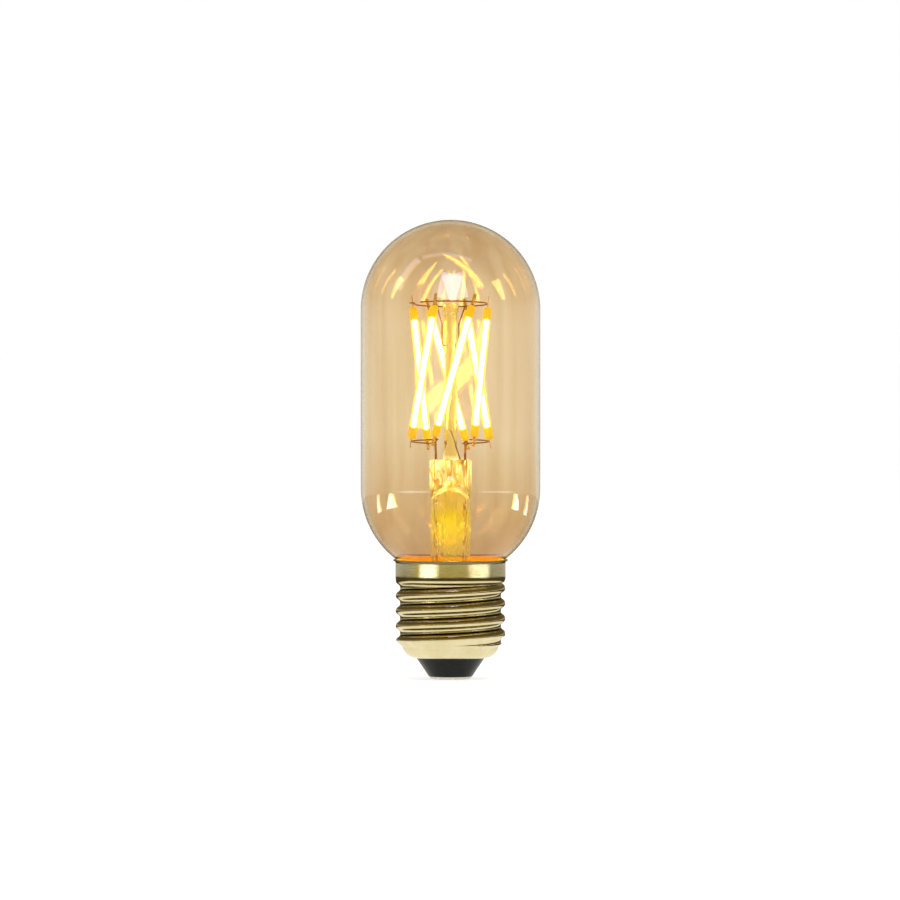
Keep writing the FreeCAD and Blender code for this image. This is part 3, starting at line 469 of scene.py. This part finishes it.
class BULB_OT_envelope(bpy.types.Operator):
    """Turns the blown glass envelope with its inner and outer face"""
    bl_idname = "bulb.envelope"
    bl_label = "Blow Envelope"

    def execute(self, context):
        size = context.scene.bulb_glass
        fillet_r = size.neck + size.fillet
        drop = math.sqrt((size.radius + size.fillet) ** 2 - fillet_r ** 2)
        fillet_z = size.lower_centre - drop
        meeting = math.degrees(math.atan2(drop, fillet_r))

        def wall_line(inset):
            neck = size.neck - inset
            radius = size.radius - inset
            line = [(neck, size.rim)] + run((neck, size.rim), (neck, fillet_z), 6)
            line += arc((fillet_r, fillet_z), size.fillet + inset, 180, 180 - meeting, 14)
            line += arc((0, size.lower_centre), radius, -meeting, 0, 44)[1:]
            line += run((radius, size.lower_centre), (radius, size.dome_centre), 24)
            return line + arc((0, size.dome_centre), radius, 0, 90, 56)

        outline = wall_line(0) + wall_line(size.wall)[::-1]
        mesh = turned_mesh("envelope", outline, size.segments)
        # The lustre asks which face is the inner one: the one nearer than the wall's middle
        hollow = size.radius - size.wall / 2
        inner = []
        for vert in mesh.vertices:
            out, up = math.hypot(vert.co.x, vert.co.y), vert.co.z
            up = max(size.lower_centre - up, up - size.dome_centre, 0.0)
            inner.append(1.0 if math.hypot(out, up) < hollow else 0.0)
        mesh.attributes.new("inner", "FLOAT", "POINT").data.foreach_set("value", inner)
        place_piece("blown_envelope", mesh, amber_glass(), "amber_glass", "glass_envelope")
        return {"FINISHED"}


def thread_tree():
    """Tree that wraps a turned cap outline round the axis and raises the rolled thread on it."""
    tree, given = new_tree("rolled_thread", [
        ("Segments", "Int"), ("Rows", "Int"), ("Crest Radius", "Float"), ("Depth", "Float"),
        ("Pitch", "Float"), ("Knuckle Radius", "Float"), ("Crest Height", "Float"),
        ("Ridge Start", "Float"), ("Ridge End", "Float"), ("Bowl Radius", "Float"),
        ("Bowl Top", "Float"), ("Run-Out Slope", "Float"), ("Material", "Material")])
    value = given.outputs
    outline = add(tree, "GeometryNodeMeshToCurve", [value["Geometry"]])
    grid = add(tree, "GeometryNodeMeshGrid", {
        "Size X": 1.0, "Size Y": 1.0, "Vertices X": value["Segments"],
        "Vertices Y": value["Rows"]})
    # The grid reaches half its size of 1 each way, so half is added to run from 0 to 1
    flat = add(tree, "ShaderNodeSeparateXYZ", [add(tree, "GeometryNodeInputPosition")])
    turn = add(tree, MATH, [flat.outputs["X"], 0.5], operation="ADD")
    climb = add(tree, MATH, [flat.outputs["Y"], 0.5], operation="ADD")
    sample = add(tree, "GeometryNodeSampleCurve", {
        "Curves": outline, "Factor": climb}, mode="FACTOR", use_all_curves=True)
    base = add(tree, "ShaderNodeSeparateXYZ", [sample.outputs["Position"]])
    height = base.outputs["Z"]
    # Distance of the height from the nearest crest line, which climbs one pitch a turn
    crest_line = add(tree, MATH, [turn, value["Pitch"], value["Crest Height"]],
                     operation="MULTIPLY_ADD")
    above = add(tree, MATH, [height, crest_line], operation="SUBTRACT")
    turns = add(tree, MATH, [above, value["Pitch"]], operation="DIVIDE")
    nearest = add(tree, MATH, [turns], operation="ROUND")
    off = add(tree, MATH, [turns, nearest], operation="SUBTRACT")
    distance = add(tree, MATH, [
        add(tree, MATH, [off], operation="ABSOLUTE"), value["Pitch"]], operation="MULTIPLY")
    knuckle = value["Knuckle Radius"]
    square = add(tree, MATH, [knuckle, knuckle], operation="MULTIPLY")
    # Crest arc
    crest_drop = add(tree, MATH, [distance, distance], operation="MULTIPLY")
    crest_rise = add(tree, MATH, [
        add(tree, MATH, [square, crest_drop], operation="SUBTRACT")], operation="SQRT")
    crest_centre = add(tree, MATH, [value["Crest Radius"], knuckle], operation="SUBTRACT")
    crest = add(tree, MATH, [crest_centre, crest_rise], operation="ADD")
    # Root arc, half a pitch away
    half = add(tree, MATH, [value["Pitch"], 0.5], operation="MULTIPLY")
    to_root = add(tree, MATH, [half, distance], operation="SUBTRACT")
    root_drop = add(tree, MATH, [to_root, to_root], operation="MULTIPLY")
    root_rise = add(tree, MATH, [
        add(tree, MATH, [square, root_drop], operation="SUBTRACT")], operation="SQRT")
    root_radius = add(tree, MATH, [value["Crest Radius"], value["Depth"]], operation="SUBTRACT")
    root_centre = add(tree, MATH, [root_radius, knuckle], operation="ADD")
    root = add(tree, MATH, [root_centre, root_rise], operation="SUBTRACT")
    near_crest = add(tree, MATH, [distance, add(tree, MATH, [half, 0.5], operation="MULTIPLY")],
                     operation="LESS_THAN")
    ridge = add(tree, "GeometryNodeSwitch", {
        "Switch": near_crest, "False": root, "True": crest}, input_type="FLOAT")
    # The ridge runs out on a cone above the bowl, and ends inside the collar
    over_bowl = add(tree, MATH, [height, value["Bowl Top"]], operation="SUBTRACT")
    cone = add(tree, MATH, [over_bowl, value["Run-Out Slope"], value["Bowl Radius"]],
               operation="MULTIPLY_ADD")
    eased = add(tree, MATH, [ridge, cone], operation="MINIMUM")
    after_start = add(tree, MATH, [height, value["Ridge Start"]], operation="GREATER_THAN")
    before_end = add(tree, MATH, [height, value["Ridge End"]], operation="LESS_THAN")
    inside = add(tree, MATH, [after_start, before_end], operation="MULTIPLY")
    raised = add(tree, MATH, [eased, inside], operation="MULTIPLY")
    radius = add(tree, MATH, [base.outputs["X"], raised], operation="MAXIMUM")
    angle = add(tree, MATH, [turn, math.tau], operation="MULTIPLY")
    across = add(tree, MATH, [
        radius, add(tree, MATH, [angle], operation="COSINE")], operation="MULTIPLY")
    deep = add(tree, MATH, [
        radius, add(tree, MATH, [angle], operation="SINE")], operation="MULTIPLY")
    place = add(tree, "ShaderNodeCombineXYZ", [across, deep, height])
    # The brass finish paints its shade lines by how far above or below its crest a place on the
    # thread lies, and the flat grid still knows
    proud = add(tree, MATH, [raised, base.outputs["X"]], operation="GREATER_THAN")
    flank = add(tree, MATH, [off, proud], operation="MULTIPLY")
    noted = add(tree, "GeometryNodeStoreNamedAttribute", {
        "Geometry": grid, "Name": "flank", "Value": flank}, data_type="FLOAT", domain="POINT")
    wrapped = add(tree, "GeometryNodeSetPosition", {"Geometry": noted, "Position": place})
    joined = add(tree, "GeometryNodeMergeByDistance", {"Geometry": wrapped, "Distance": 1e-6})
    close_tree(tree, joined, given)
    return tree


# Radii and heights of the cap's outline, from the bowl up
BOWL_HOLE, BOWL_RADIUS, BOWL_ROUNDING = 8.3 * MM, 11.5 * MM, 3.2 * MM
BOWL_BOTTOM, BOWL_TOP = 5.1 * MM, 7.75 * MM
RUN_OUT, CREST_HEIGHT = 1.6 * MM, 10.96 * MM
COLLAR_START, COLLAR_TOP = 24.1 * MM, 28.08 * MM
FLARE_START, FLARE_END = 28.15 * MM, 28.38 * MM
LIP_EDGE, LIP_TOP, LIP_RADIUS = 28.45 * MM, 28.7 * MM, 13.75 * MM


def cap_outline(size, knuckle, slope):
    """Line of (radius, height) up the cap: bowl, core under the thread, collar, flared lip."""
    # The core stands a hair outside the thread's roots, and the collar outside its crests
    core = size.crest - size.depth + 0.03 * MM
    collar = size.crest + 0.05 * MM
    # The collar's foot draws in a little on a wide curve before it turns to the thread
    foot_curve, foot_height, foot_draw, foot_lean = 8.0 * MM, 0.8 * MM, 0.04 * MM, 6
    sideways = 2 * knuckle - (collar - foot_draw - core)
    step = math.sqrt((2 * knuckle) ** 2 - sideways ** 2)
    lean = math.degrees(math.atan2(step, sideways))
    bowl_arc = arc((BOWL_RADIUS - BOWL_ROUNDING, BOWL_BOTTOM + BOWL_ROUNDING), BOWL_ROUNDING,
                   -90, 0, 16)
    line = [(BOWL_HOLE, BOWL_BOTTOM)]
    line += [place for place in bowl_arc[1:] if place[1] <= BOWL_TOP]
    line += [(BOWL_RADIUS, BOWL_TOP), (core, BOWL_TOP + (core - BOWL_RADIUS) / slope)]
    line += arc((core + knuckle, COLLAR_START - step), knuckle, 180, 180 - lean, 10)
    line += arc((collar - foot_draw - knuckle, COLLAR_START), knuckle, -lean, -foot_lean, 10)
    foot = line[-1][1]
    line += [(collar - ((1 - part) * foot_height) ** 2 / (2 * foot_curve),
              foot + part * foot_height) for part in (0.25, 0.5, 0.75, 1.0)]
    # The flare leaves the collar and reaches the lip in soft corners
    line += [(collar, COLLAR_TOP), (collar + 0.05 * MM, FLARE_START)]
    line += [(LIP_RADIUS - 0.06 * MM, FLARE_END), (LIP_RADIUS, LIP_EDGE), (LIP_RADIUS, LIP_TOP)]
    return line


class BULB_OT_screw_cap(bpy.types.Operator):
    """Rolls the brass cap: bowl, round thread, collar and flared lip"""
    bl_idname = "bulb.screw_cap"
    bl_label = "Roll Screw Cap"

    def execute(self, context):
        size = context.scene.bulb_cap
        knuckle = (size.pitch ** 2 / 4 + size.depth ** 2) / (4 * size.depth)
        slope = (size.crest - BOWL_RADIUS) / RUN_OUT
        outline = cap_outline(size, knuckle, slope)
        mesh = bpy.data.meshes.new("cap_outline")
        mesh.from_pydata([(r, 0, z) for r, z in outline],
                         [(i, i + 1) for i in range(len(outline) - 1)], [])
        metal = brass()
        rolled = shaped(mesh, thread_tree(), {
            "Segments": size.segments + 1, "Rows": size.rows, "Crest Radius": size.crest,
            "Depth": size.depth, "Pitch": size.pitch, "Knuckle Radius": knuckle,
            "Crest Height": CREST_HEIGHT, "Ridge Start": BOWL_TOP - size.pitch / 2,
            "Ridge End": COLLAR_START + size.pitch / 2, "Bowl Radius": BOWL_RADIUS,
            "Bowl Top": BOWL_TOP, "Run-Out Slope": slope, "Material": metal})
        piece = place_piece("rolled_screw_cap", rolled, metal, "cap_brass", "cap_shell")
        # The outline is the sheet's outer face, so its thickness goes inwards
        wall = piece.modifiers.new("sheet", "SOLIDIFY")
        wall.thickness = size.sheet
        wall.offset = -1.0
        wall.use_even_offset = True
        return {"FINISHED"}


def strip_mesh(width, thickness, length):
    """One coated strip along Z, with soft ends, and an attribute that runs 0 to 1 along it."""
    rounding, corner_steps, rows = 0.5 * MM, 5, 72
    soft_end, end_girth, unevenness = 0.45 * MM, 0.72, 0.02
    half_w, half_t = width / 2, thickness / 2
    section = []
    for side_x, side_y, start in ((1, 1, 0), (-1, 1, 90), (-1, -1, 180), (1, -1, 270)):
        section += arc((side_x * (half_w - rounding), side_y * (half_t - rounding)), rounding,
                       start, start + 90, corner_steps)
    verts, along = [], []
    for row in range(rows + 1):
        part = row / rows
        ease = min(1.0, min(part, 1 - part) * length / soft_end)
        girth = end_girth + (1 - end_girth) * math.sqrt(1 - (1 - ease) ** 2)
        girth *= 1 + unevenness * noise.noise(Vector((part * 9, 0.3, 0.7)))
        verts += [(x * girth, y * girth, part * length) for x, y in section]
        along += [part] * len(section)
    count = len(section)
    faces = [(row * count + i, row * count + (i + 1) % count,
              (row + 1) * count + (i + 1) % count, (row + 1) * count + i)
             for row in range(rows) for i in range(count)]
    faces += [tuple(range(count))[::-1], tuple(rows * count + i for i in range(count))]
    mesh = bpy.data.meshes.new("strip")
    mesh.from_pydata(verts, [], faces)
    mesh.attributes.new("along", "FLOAT", "POINT").data.foreach_set("value", along)
    return mesh


def cage_tree():
    """Tree that stands copies of a strip between two tilted rings, each leaning by the twist."""
    tree, given = new_tree("strip_cage", [
        ("Strips", "Int"), ("Lower Radius", "Float"), ("Upper Radius", "Float"),
        ("Lower Height", "Float"), ("Upper Height", "Float"), ("First Angle", "Float"),
        ("Twist", "Float"), ("Tilt", "Float"), ("Lower Gap", "Float"), ("Upper Gap", "Float"),
        ("Strip Length", "Float"), ("Material", "Material")])
    value = given.outputs
    index = add(tree, "GeometryNodeInputIndex")
    step = add(tree, MATH, [math.tau, value["Strips"]], operation="DIVIDE")
    foot = add(tree, MATH, [index, step, value["First Angle"]], operation="MULTIPLY_ADD")
    top = add(tree, MATH, [foot, value["Twist"]], operation="ADD")
    middle = add(tree, MATH, [value["Twist"], 0.5, foot], operation="MULTIPLY_ADD")

    def outwards(angle):
        side = add(tree, MATH, [angle], operation="SINE")
        front = add(tree, MATH, [angle], operation="COSINE")
        back = add(tree, MATH, [front, -1.0], operation="MULTIPLY")
        return add(tree, "ShaderNodeCombineXYZ", [side, back, 0.0])

    def ring_place(angle, radius, height):
        level = add(tree, "ShaderNodeVectorMath", {0: outwards(angle), "Scale": radius},
                    operation="SCALE")
        lean = add(tree, MATH, [value["Tilt"], -1.0], operation="MULTIPLY")
        tilted = add(tree, "ShaderNodeVectorRotate", {"Vector": level, "Angle": lean},
                     rotation_type="X_AXIS")
        lift = add(tree, "ShaderNodeCombineXYZ", [0.0, 0.0, height])
        return add(tree, "ShaderNodeVectorMath", [tilted, lift], operation="ADD")

    low = ring_place(foot, value["Lower Radius"], value["Lower Height"])
    high = ring_place(top, value["Upper Radius"], value["Upper Height"])
    whole = add(tree, "ShaderNodeVectorMath", [high, low], operation="SUBTRACT")
    direction = add(tree, "ShaderNodeVectorMath", [whole], operation="NORMALIZE")
    length = add(tree, "ShaderNodeVectorMath", [whole], operation="LENGTH").outputs["Value"]
    lift = add(tree, "ShaderNodeVectorMath", {0: direction, "Scale": value["Lower Gap"]},
               operation="SCALE")
    start = add(tree, "ShaderNodeVectorMath", [low, lift], operation="ADD")
    gaps = add(tree, MATH, [value["Lower Gap"], value["Upper Gap"]], operation="ADD")
    coated = add(tree, MATH, [length, gaps], operation="SUBTRACT")
    stretch = add(tree, MATH, [coated, value["Strip Length"]], operation="DIVIDE")
    scale = add(tree, "ShaderNodeCombineXYZ", [1.0, 1.0, stretch])
    turn = add(tree, "FunctionNodeAxesToRotation", [direction, outwards(middle)],
               primary_axis="Z", secondary_axis="Y")
    points = add(tree, "GeometryNodePoints", {"Count": value["Strips"], "Position": start})
    cage = add(tree, "GeometryNodeInstanceOnPoints", {
        "Points": points, "Instance": value["Geometry"], "Rotation": turn, "Scale": scale})
    close_tree(tree, cage, given)
    return tree


# What the coat and the row of chips leave free of the way between the rings, foot and top
COAT_GAPS, CHIP_GAPS = (0.7 * MM, 1.0 * MM), (3.5 * MM, 3.9 * MM)
# How much slimmer the row of chips is than its coat
CHIP_NARROWER, CHIP_THINNER = 0.55 * MM, 0.5 * MM


class BULB_OT_filaments(bpy.types.Operator):
    """Stands the lit, phosphor-coated strips round the cage"""
    bl_idname = "bulb.filaments"
    bl_label = "Light Filaments"

    def execute(self, context):
        size = context.scene.bulb_cage
        tree = cage_tree()

        def strips(width, thickness, lower_gap, upper_gap, material):
            length = size.upper_height - size.lower_height - lower_gap - upper_gap
            return shaped(strip_mesh(width, thickness, length), tree, {
                "Strips": size.count, "Lower Radius": size.lower_radius,
                "Upper Radius": size.upper_radius, "Lower Height": size.lower_height,
                "Upper Height": size.upper_height, "First Angle": size.first_angle,
                "Twist": size.twist, "Tilt": size.tilt, "Lower Gap": lower_gap,
                "Upper Gap": upper_gap, "Strip Length": length, "Material": material})

        replaced = [f"filament_{number}" for number in range(1, size.count + 1)]
        silicone = phosphor_silicone(tuple(size.glow))
        chips = lit_chips(tuple(size.light))
        coats = strips(size.width, size.thickness, *COAT_GAPS, silicone)
        place_piece("phosphor_coats", coats, silicone, "phosphor", *replaced)
        rows = strips(size.width - CHIP_NARROWER, size.thickness - CHIP_THINNER, *CHIP_GAPS, chips)
        place_piece("lit_chip_rows", rows, chips, "phosphor")
        tabs = [f"{name}_{end}_tab" for name in replaced for end in ("bottom", "top")]
        dress(mottled("nickel_plated_tab", "b8904a", "d8b468", (0.2, 0.35), 0.6, 1.0), *tabs)
        return {"FINISHED"}


class BULB_OT_stem(bpy.types.Operator):
    """Finishes the stem glass, the column and every wire on them"""
    bl_idname = "bulb.stem"
    bl_label = "Finish Stem"

    def execute(self, context):
        dress(stem_glass(), "stem_flare", "exhaust_tube", "center_column")
        wire = mottled("heat_tinted_nickel_wire", "74360f", "a05a24", (0.3, 0.45), 0.5, 1.0)
        dress(wire, "upper_bus_ring", "lower_bus_left", "lower_bus_right", "inner_lead_left",
              "inner_lead_right")
        dress(mottled("molybdenum_support_wire", "74461c", "9a6630", (0.3, 0.4), 0.5, 1.0),
              "upper_support_front", "upper_support_rear", "column_brace_wire")
        dress(mottled("borated_dumet_wire", "7c2a12", "a8452a", (0.25, 0.4), 0.4),
              "dumet_seal_left", "dumet_seal_right")
        dress(mottled("bare_copper_wire", "a8623a", "c98055", (0.3, 0.4), 0.4, 1.0),
              "outer_lead_left", "outer_lead_right", "contact_wire", "shell_wire")
        return {"FINISHED"}


class BULB_OT_cap_end(bpy.types.Operator):
    """Finishes the black glass insulator, the centre contact, its solder and the cement"""
    bl_idname = "bulb.cap_end"
    bl_label = "Finish Cap End"

    def execute(self, context):
        dress(mottled("black_moulded_glass", "0c1011", "1a2223", (0.12, 0.28), 1.8,
                      bump_depth=0.05, specular=0.22), "cap_insulator")
        dress(mottled("nickel_plated_contact", "d8d7d4", "eceae6", (0.18, 0.32), 1.2, 0.7),
              "center_contact")
        dress(mottled("lead_free_solder", "a7aaab", "c6c9ca", (0.3, 0.5), 0.5, 1.0,
                      bump_depth=0.04), "contact_solder")
        # The cement's bright orange and its glow are painted light, standing in for the strips'
        # light carried down the glass
        dress(mottled("baked_capping_cement_with_painted_glow", "c88c0c", "e0a418", (0.8, 0.95), 0.7,
                      bump_depth=0.15, glow=("ffc404", 1.7)), "capping_cement")
        return {"FINISHED"}


class BULB_OT_driver(bpy.types.Operator):
    """Finishes the driver board and its parts inside the cap"""
    bl_idname = "bulb.driver"
    bl_label = "Finish Driver"

    def execute(self, context):
        dress(mottled("green_glass_epoxy_board", "1d5a34", "2b7345", (0.3, 0.45), 0.9),
              "driver_board")
        dress(mottled("sleeved_capacitor_can", "20242c", "2d333d", (0.25, 0.4), 1.5),
              "smoothing_capacitor")
        dress(mottled("moulded_black_epoxy", "17181a", "242629", (0.5, 0.7), 0.5,
                      bump_depth=0.03), "bridge_rectifier", "driver_chip")
        dress(mottled("lacquered_resistor_body", "b8a37c", "cdb991", (0.35, 0.5), 0.8),
              "fusible_resistor")
        return {"FINISHED"}


def light_card(name, place, aim, width, height, radiance, colour=(1, 1, 1), roll=0.0):
    """Soft rectangular lamp of the given radiance, turned to face aim, and rolled in its plane."""
    lamp = bpy.data.lights.new(name, "AREA")
    lamp.shape = "RECTANGLE"
    lamp.size = width
    lamp.size_y = height
    lamp.energy = radiance * math.pi * width * height
    lamp.color = colour
    holder = bpy.data.objects.new(name, lamp)
    holder.location = place
    facing = (Vector(aim) - Vector(place)).to_track_quat("-Z", "Y")
    holder.rotation_euler = (facing @ Quaternion((0, 0, 1), roll)).to_euler()
    holder.visible_camera = False
    bpy.context.scene.collection.objects.link(holder)
    return holder


def level_lobe(tree, direction, azimuth, inner, outer):
    """1 within inner degrees of an azimuth, smoothly 0 beyond outer degrees.

    Azimuths are in degrees from the front, growing to the right."""
    level = add(tree, "ShaderNodeVectorMath", [direction, (1, 1, 0)], operation="MULTIPLY")
    level = add(tree, "ShaderNodeVectorMath", [level], operation="NORMALIZE")
    turn = math.radians(azimuth)
    towards = add(tree, "ShaderNodeVectorMath", [
        level, (math.sin(turn), -math.cos(turn), 0)], operation="DOT_PRODUCT")
    return add(tree, "ShaderNodeMapRange", {
        "Value": towards.outputs["Value"], "From Min": math.cos(math.radians(outer)),
        "From Max": math.cos(math.radians(inner))},
        interpolation_type="SMOOTHSTEP").outputs["Result"]


def studio_round(tree, direction):
    """Colour of the studio as gloss sees it: pale grey behind, olive-grey in front."""
    behind = level_lobe(tree, direction, 180, 78, 112)
    return add(tree, "ShaderNodeMix", {
        0: behind, 6: linear("d6c98d"), 7: linear("bab6a8")}, data_type="RGBA").outputs[2]


def white_surround():
    """World that the camera sees white, and gloss as a studio that darkens overhead."""
    world = bpy.data.worlds.new("white_surround")
    world.use_nodes = True
    tree = world.node_tree
    tree.nodes.clear()
    path = add(tree, "ShaderNodeLightPath").outputs
    towards = add(tree, "ShaderNodeTexCoord").outputs["Generated"]
    height = add(tree, "ShaderNodeSeparateXYZ", [towards]).outputs["Z"]
    # Over the horizon gloss sees the room turn brown, and black overhead
    overhead = add(tree, "ShaderNodeValToRGB", [height], stops=[
        (0.0, "ffffff"), (0.07, "dcdcdc"), (0.16, "8e7a50"), (0.72, "7a6848"),
        (0.90, "000000")])
    mirrored = add(tree, "ShaderNodeVectorMath", [studio_round(tree, towards), overhead],
                   operation="MULTIPLY")
    # Through the glass the room is white, and dimmer high up
    seen_through = add(tree, "ShaderNodeMapRange", {
        "Value": height, "From Min": 0.45, "From Max": 0.80, "To Min": 1.0, "To Max": 0.3})
    soft_light = (0.5, 0.5, 0.5, 1)
    colour = add(tree, "ShaderNodeMix", {
        0: path["Is Glossy Ray"], 6: soft_light, 7: mirrored}, data_type="RGBA")
    colour = add(tree, "ShaderNodeMix", {
        0: path["Is Transmission Ray"], 6: colour.outputs[2], 7: seen_through},
        data_type="RGBA")
    colour = add(tree, "ShaderNodeMix", {
        0: path["Is Camera Ray"], 6: colour.outputs[2], 7: (1, 1, 1, 1)}, data_type="RGBA")
    air = add(tree, "ShaderNodeBackground", {"Color": colour.outputs[2], "Strength": 1.0})
    add(tree, "ShaderNodeOutputWorld", [air])
    return world


def floor_paper():
    """White paper to the camera; to gloss, painted light: a bright pool by the bulb, a dark ring
    of painted shade and the room.
    """
    material, tree = new_material("white_floor_paper")
    path = add(tree, "ShaderNodeLightPath").outputs
    # The camera sees the paper lifted to plain white
    lift = add(tree, MATH, [path["Is Camera Ray"], 0.62], operation="MULTIPLY")
    paper = add(tree, "ShaderNodeBsdfPrincipled", {
        "Base Color": linear("e8e8e8"), "Roughness": 0.9, "Specular IOR Level": 0.1,
        "Emission Color": (1, 1, 1, 1), "Emission Strength": lift})
    place = add(tree, "ShaderNodeNewGeometry").outputs["Position"]
    reach = add(tree, "ShaderNodeVectorMath", [place], operation="LENGTH").outputs["Value"]
    # Painted for gloss: bright paper close by, then a painted dark ring that ends half a metre
    # away
    half_metres = add(tree, MATH, [reach, 2.0], operation="MULTIPLY")
    painted_pool_and_ring = add(tree, "ShaderNodeValToRGB", [half_metres], stops=[
        (0.0, "fffaf0"), (0.10, "f6efdc"), (0.17, "4c4024"), (0.70, "4c4024"),
        (0.95, "000000")])
    # Then the room, with a soft bright panel painted on the paper on each side of the front, which
    # the collar mirrors as its two highlights
    far = add(tree, "ShaderNodeMapRange", {"Value": reach, "From Min": 0.50, "From Max": 0.60})
    panels_end = add(tree, "ShaderNodeMapRange", {
        "Value": reach, "From Min": 0.80, "From Max": 1.10, "To Min": 1.0, "To Max": 0.0})
    painted_left_panel = add(tree, MATH, [level_lobe(tree, place, -47, 2, 26), 4.4],
                     operation="MULTIPLY")
    painted_panels = add(tree, MATH, [level_lobe(tree, place, 63, 2, 31), 2.8, painted_left_panel],
                 operation="MULTIPLY_ADD")
    painted_panels = add(tree, MATH, [painted_panels, panels_end], operation="MULTIPLY")
    room = add(tree, "ShaderNodeVectorMath", [studio_round(tree, place), painted_panels],
               operation="ADD")
    room = add(tree, "ShaderNodeVectorMath", {0: room, "Scale": far}, operation="SCALE")
    mirrored = add(tree, "ShaderNodeVectorMath", [painted_pool_and_ring, room], operation="ADD")
    shade = add(tree, "ShaderNodeMix", {
        0: path["Is Transmission Ray"], 6: mirrored, 7: (1, 1, 1, 1)}, data_type="RGBA")
    plain = add(tree, "ShaderNodeEmission", {"Color": shade.outputs[2], "Strength": 1.0})
    mirror_ray = add(tree, MATH, [path["Is Glossy Ray"], path["Is Transmission Ray"]],
                     operation="MAXIMUM")
    shader = add(tree, "ShaderNodeMixShader", [mirror_ray, paper, plain])
    add(tree, "ShaderNodeOutputMaterial", [shader])
    return material


def lay_floor(material):
    """Square sheet of paper under the bulb, wide enough to reach the horizon."""
    half = 30
    mesh = bpy.data.meshes.new("floor")
    mesh.from_pydata([(-half, -half, 0), (half, -half, 0), (half, half, 0), (-half, half, 0)],
                     [], [(0, 1, 2, 3)])
    mesh.materials.append(material)
    floor = bpy.data.objects.new("floor", mesh)
    bpy.context.scene.collection.objects.link(floor)


def room_lamps():
    """Three softboxes that light the bulb and aren't mirrored in it."""
    for name, place, width, height, radiance in (
            ("left_softbox", (-0.75, -0.70, 0.30), 0.5, 0.9, 2.2),
            ("right_softbox", (0.92, -0.42, 0.30), 0.5, 0.9, 1.8),
            ("top_softbox", (0.1, -0.35, 1.0), 0.8, 0.6, 2.0)):
        lamp = light_card(name, place, (0, 0, 0.05), width, height, radiance)
        lamp.visible_glossy = False
        lamp.visible_transmission = False


def glass_cards(glass):
    """Lit cards that only the glass catches, as its highlights."""
    # A window over the camera, of two crossed panes that lie over each other at the top
    cool, roll, width, height = (0.36, 0.44, 1.0), math.radians(13), 0.45, 0.61
    spread = math.sin(roll) * height / 2
    cards = [light_card("window", (0.04 + side * spread, -0.866, 0.59), (0, 0, 0.09),
                        width, height, 6.5, cool, side * roll) for side in (1, -1)]
    # Four strips that lie round the sides and face up, for the lower bowl
    away, length = 0.27, 0.27
    for azimuth, width, radiance in ((-81, 0.042, 11.0), (-106, 0.020, 6.0),
                                     (92, 0.030, 11.0), (117, 0.018, 5.0)):
        turn = math.radians(azimuth)
        cards.append(light_card(
            "side_card", (away * math.sin(turn), -away * math.cos(turn), 0.004), (0, 0, 10),
            width, length, radiance))
    # An arch over the bulb from its left, mirrored along the dome and low in the bowl
    pale, aim = (0.62, 0.62, 1.0), (0, 0, 0.06)
    cards.append(light_card("arch_left", (-0.74, -0.20, 0.70), aim, 0.17, 0.65, 2.8, pale))
    cards.append(light_card("arch_top", (-0.05, -0.25, 1.02), aim, 0.92, 0.09, 2.0, pale))
    catcher = bpy.data.collections.new("glass_only")
    catcher.objects.link(glass)
    for card in cards:
        card.light_linking.receiver_collection = catcher


def front_camera(scene):
    """Long lens at the front, a little above the middle of the bulb."""
    lens = bpy.data.cameras.new("view")
    lens.sensor_width = 36.0
    lens.lens = 250.5
    lens.clip_end = 100
    camera = bpy.data.objects.new("view", lens)
    eye, aim = Vector((-0.00012, -1.5, 0.080)), Vector((-0.00012, 0, 0.0549))
    camera.location = eye
    camera.rotation_euler = (aim - eye).to_track_quat("-Z", "Y").to_euler()
    scene.collection.objects.link(camera)
    scene.camera = camera


class BULB_OT_stage(bpy.types.Operator):
    """Sets the white floor and surround, the soft lamps and the camera"""
    bl_idname = "bulb.stage"
    bl_label = "Set Stage"

    def execute(self, context):
        scene = context.scene
        scene.view_settings.view_transform = "Standard"
        scene.world = white_surround()
        lay_floor(floor_paper())
        room_lamps()
        glass_cards(bpy.data.objects["blown_envelope"])
        front_camera(scene)
        return {"FINISHED"}


class BULB_PT_panel(bpy.types.Panel):
    """Lists the bulb's settings and the operators that make it"""
    bl_idname = "BULB_PT_panel"
    bl_label = "Tubular Filament Bulb"
    bl_space_type = "VIEW_3D"
    bl_region_type = "UI"
    bl_category = "Bulb"

    def draw(self, context):
        for settings in SETTINGS:
            group = getattr(context.scene, settings)
            box = self.layout.box()
            for name in group.__annotations__:
                box.prop(group, name)
        for operator in OPERATORS:
            self.layout.operator(operator.bl_idname)


SETTINGS = {"bulb_glass": GlassSettings, "bulb_cap": CapSettings, "bulb_cage": CageSettings}
OPERATORS = (BULB_OT_envelope, BULB_OT_screw_cap, BULB_OT_filaments, BULB_OT_stem,
             BULB_OT_cap_end, BULB_OT_driver, BULB_OT_stage)
CLASSES = (*SETTINGS.values(), *OPERATORS, BULB_PT_panel)


def register():
    for cls in CLASSES:
        bpy.utils.register_class(cls)
    for name, group in SETTINGS.items():
        setattr(bpy.types.Scene, name, bpy.props.PointerProperty(type=group))


def unregister():
    for name in SETTINGS:
        delattr(bpy.types.Scene, name)
    for cls in reversed(CLASSES):
        bpy.utils.unregister_class(cls)


def main():
    register()
    bpy.ops.bulb.envelope()
    bpy.ops.bulb.screw_cap()
    bpy.ops.bulb.filaments()
    bpy.ops.bulb.stem()
    bpy.ops.bulb.cap_end()
    bpy.ops.bulb.driver()
    bpy.ops.bulb.stage()


if __name__ == "__main__":
    main()
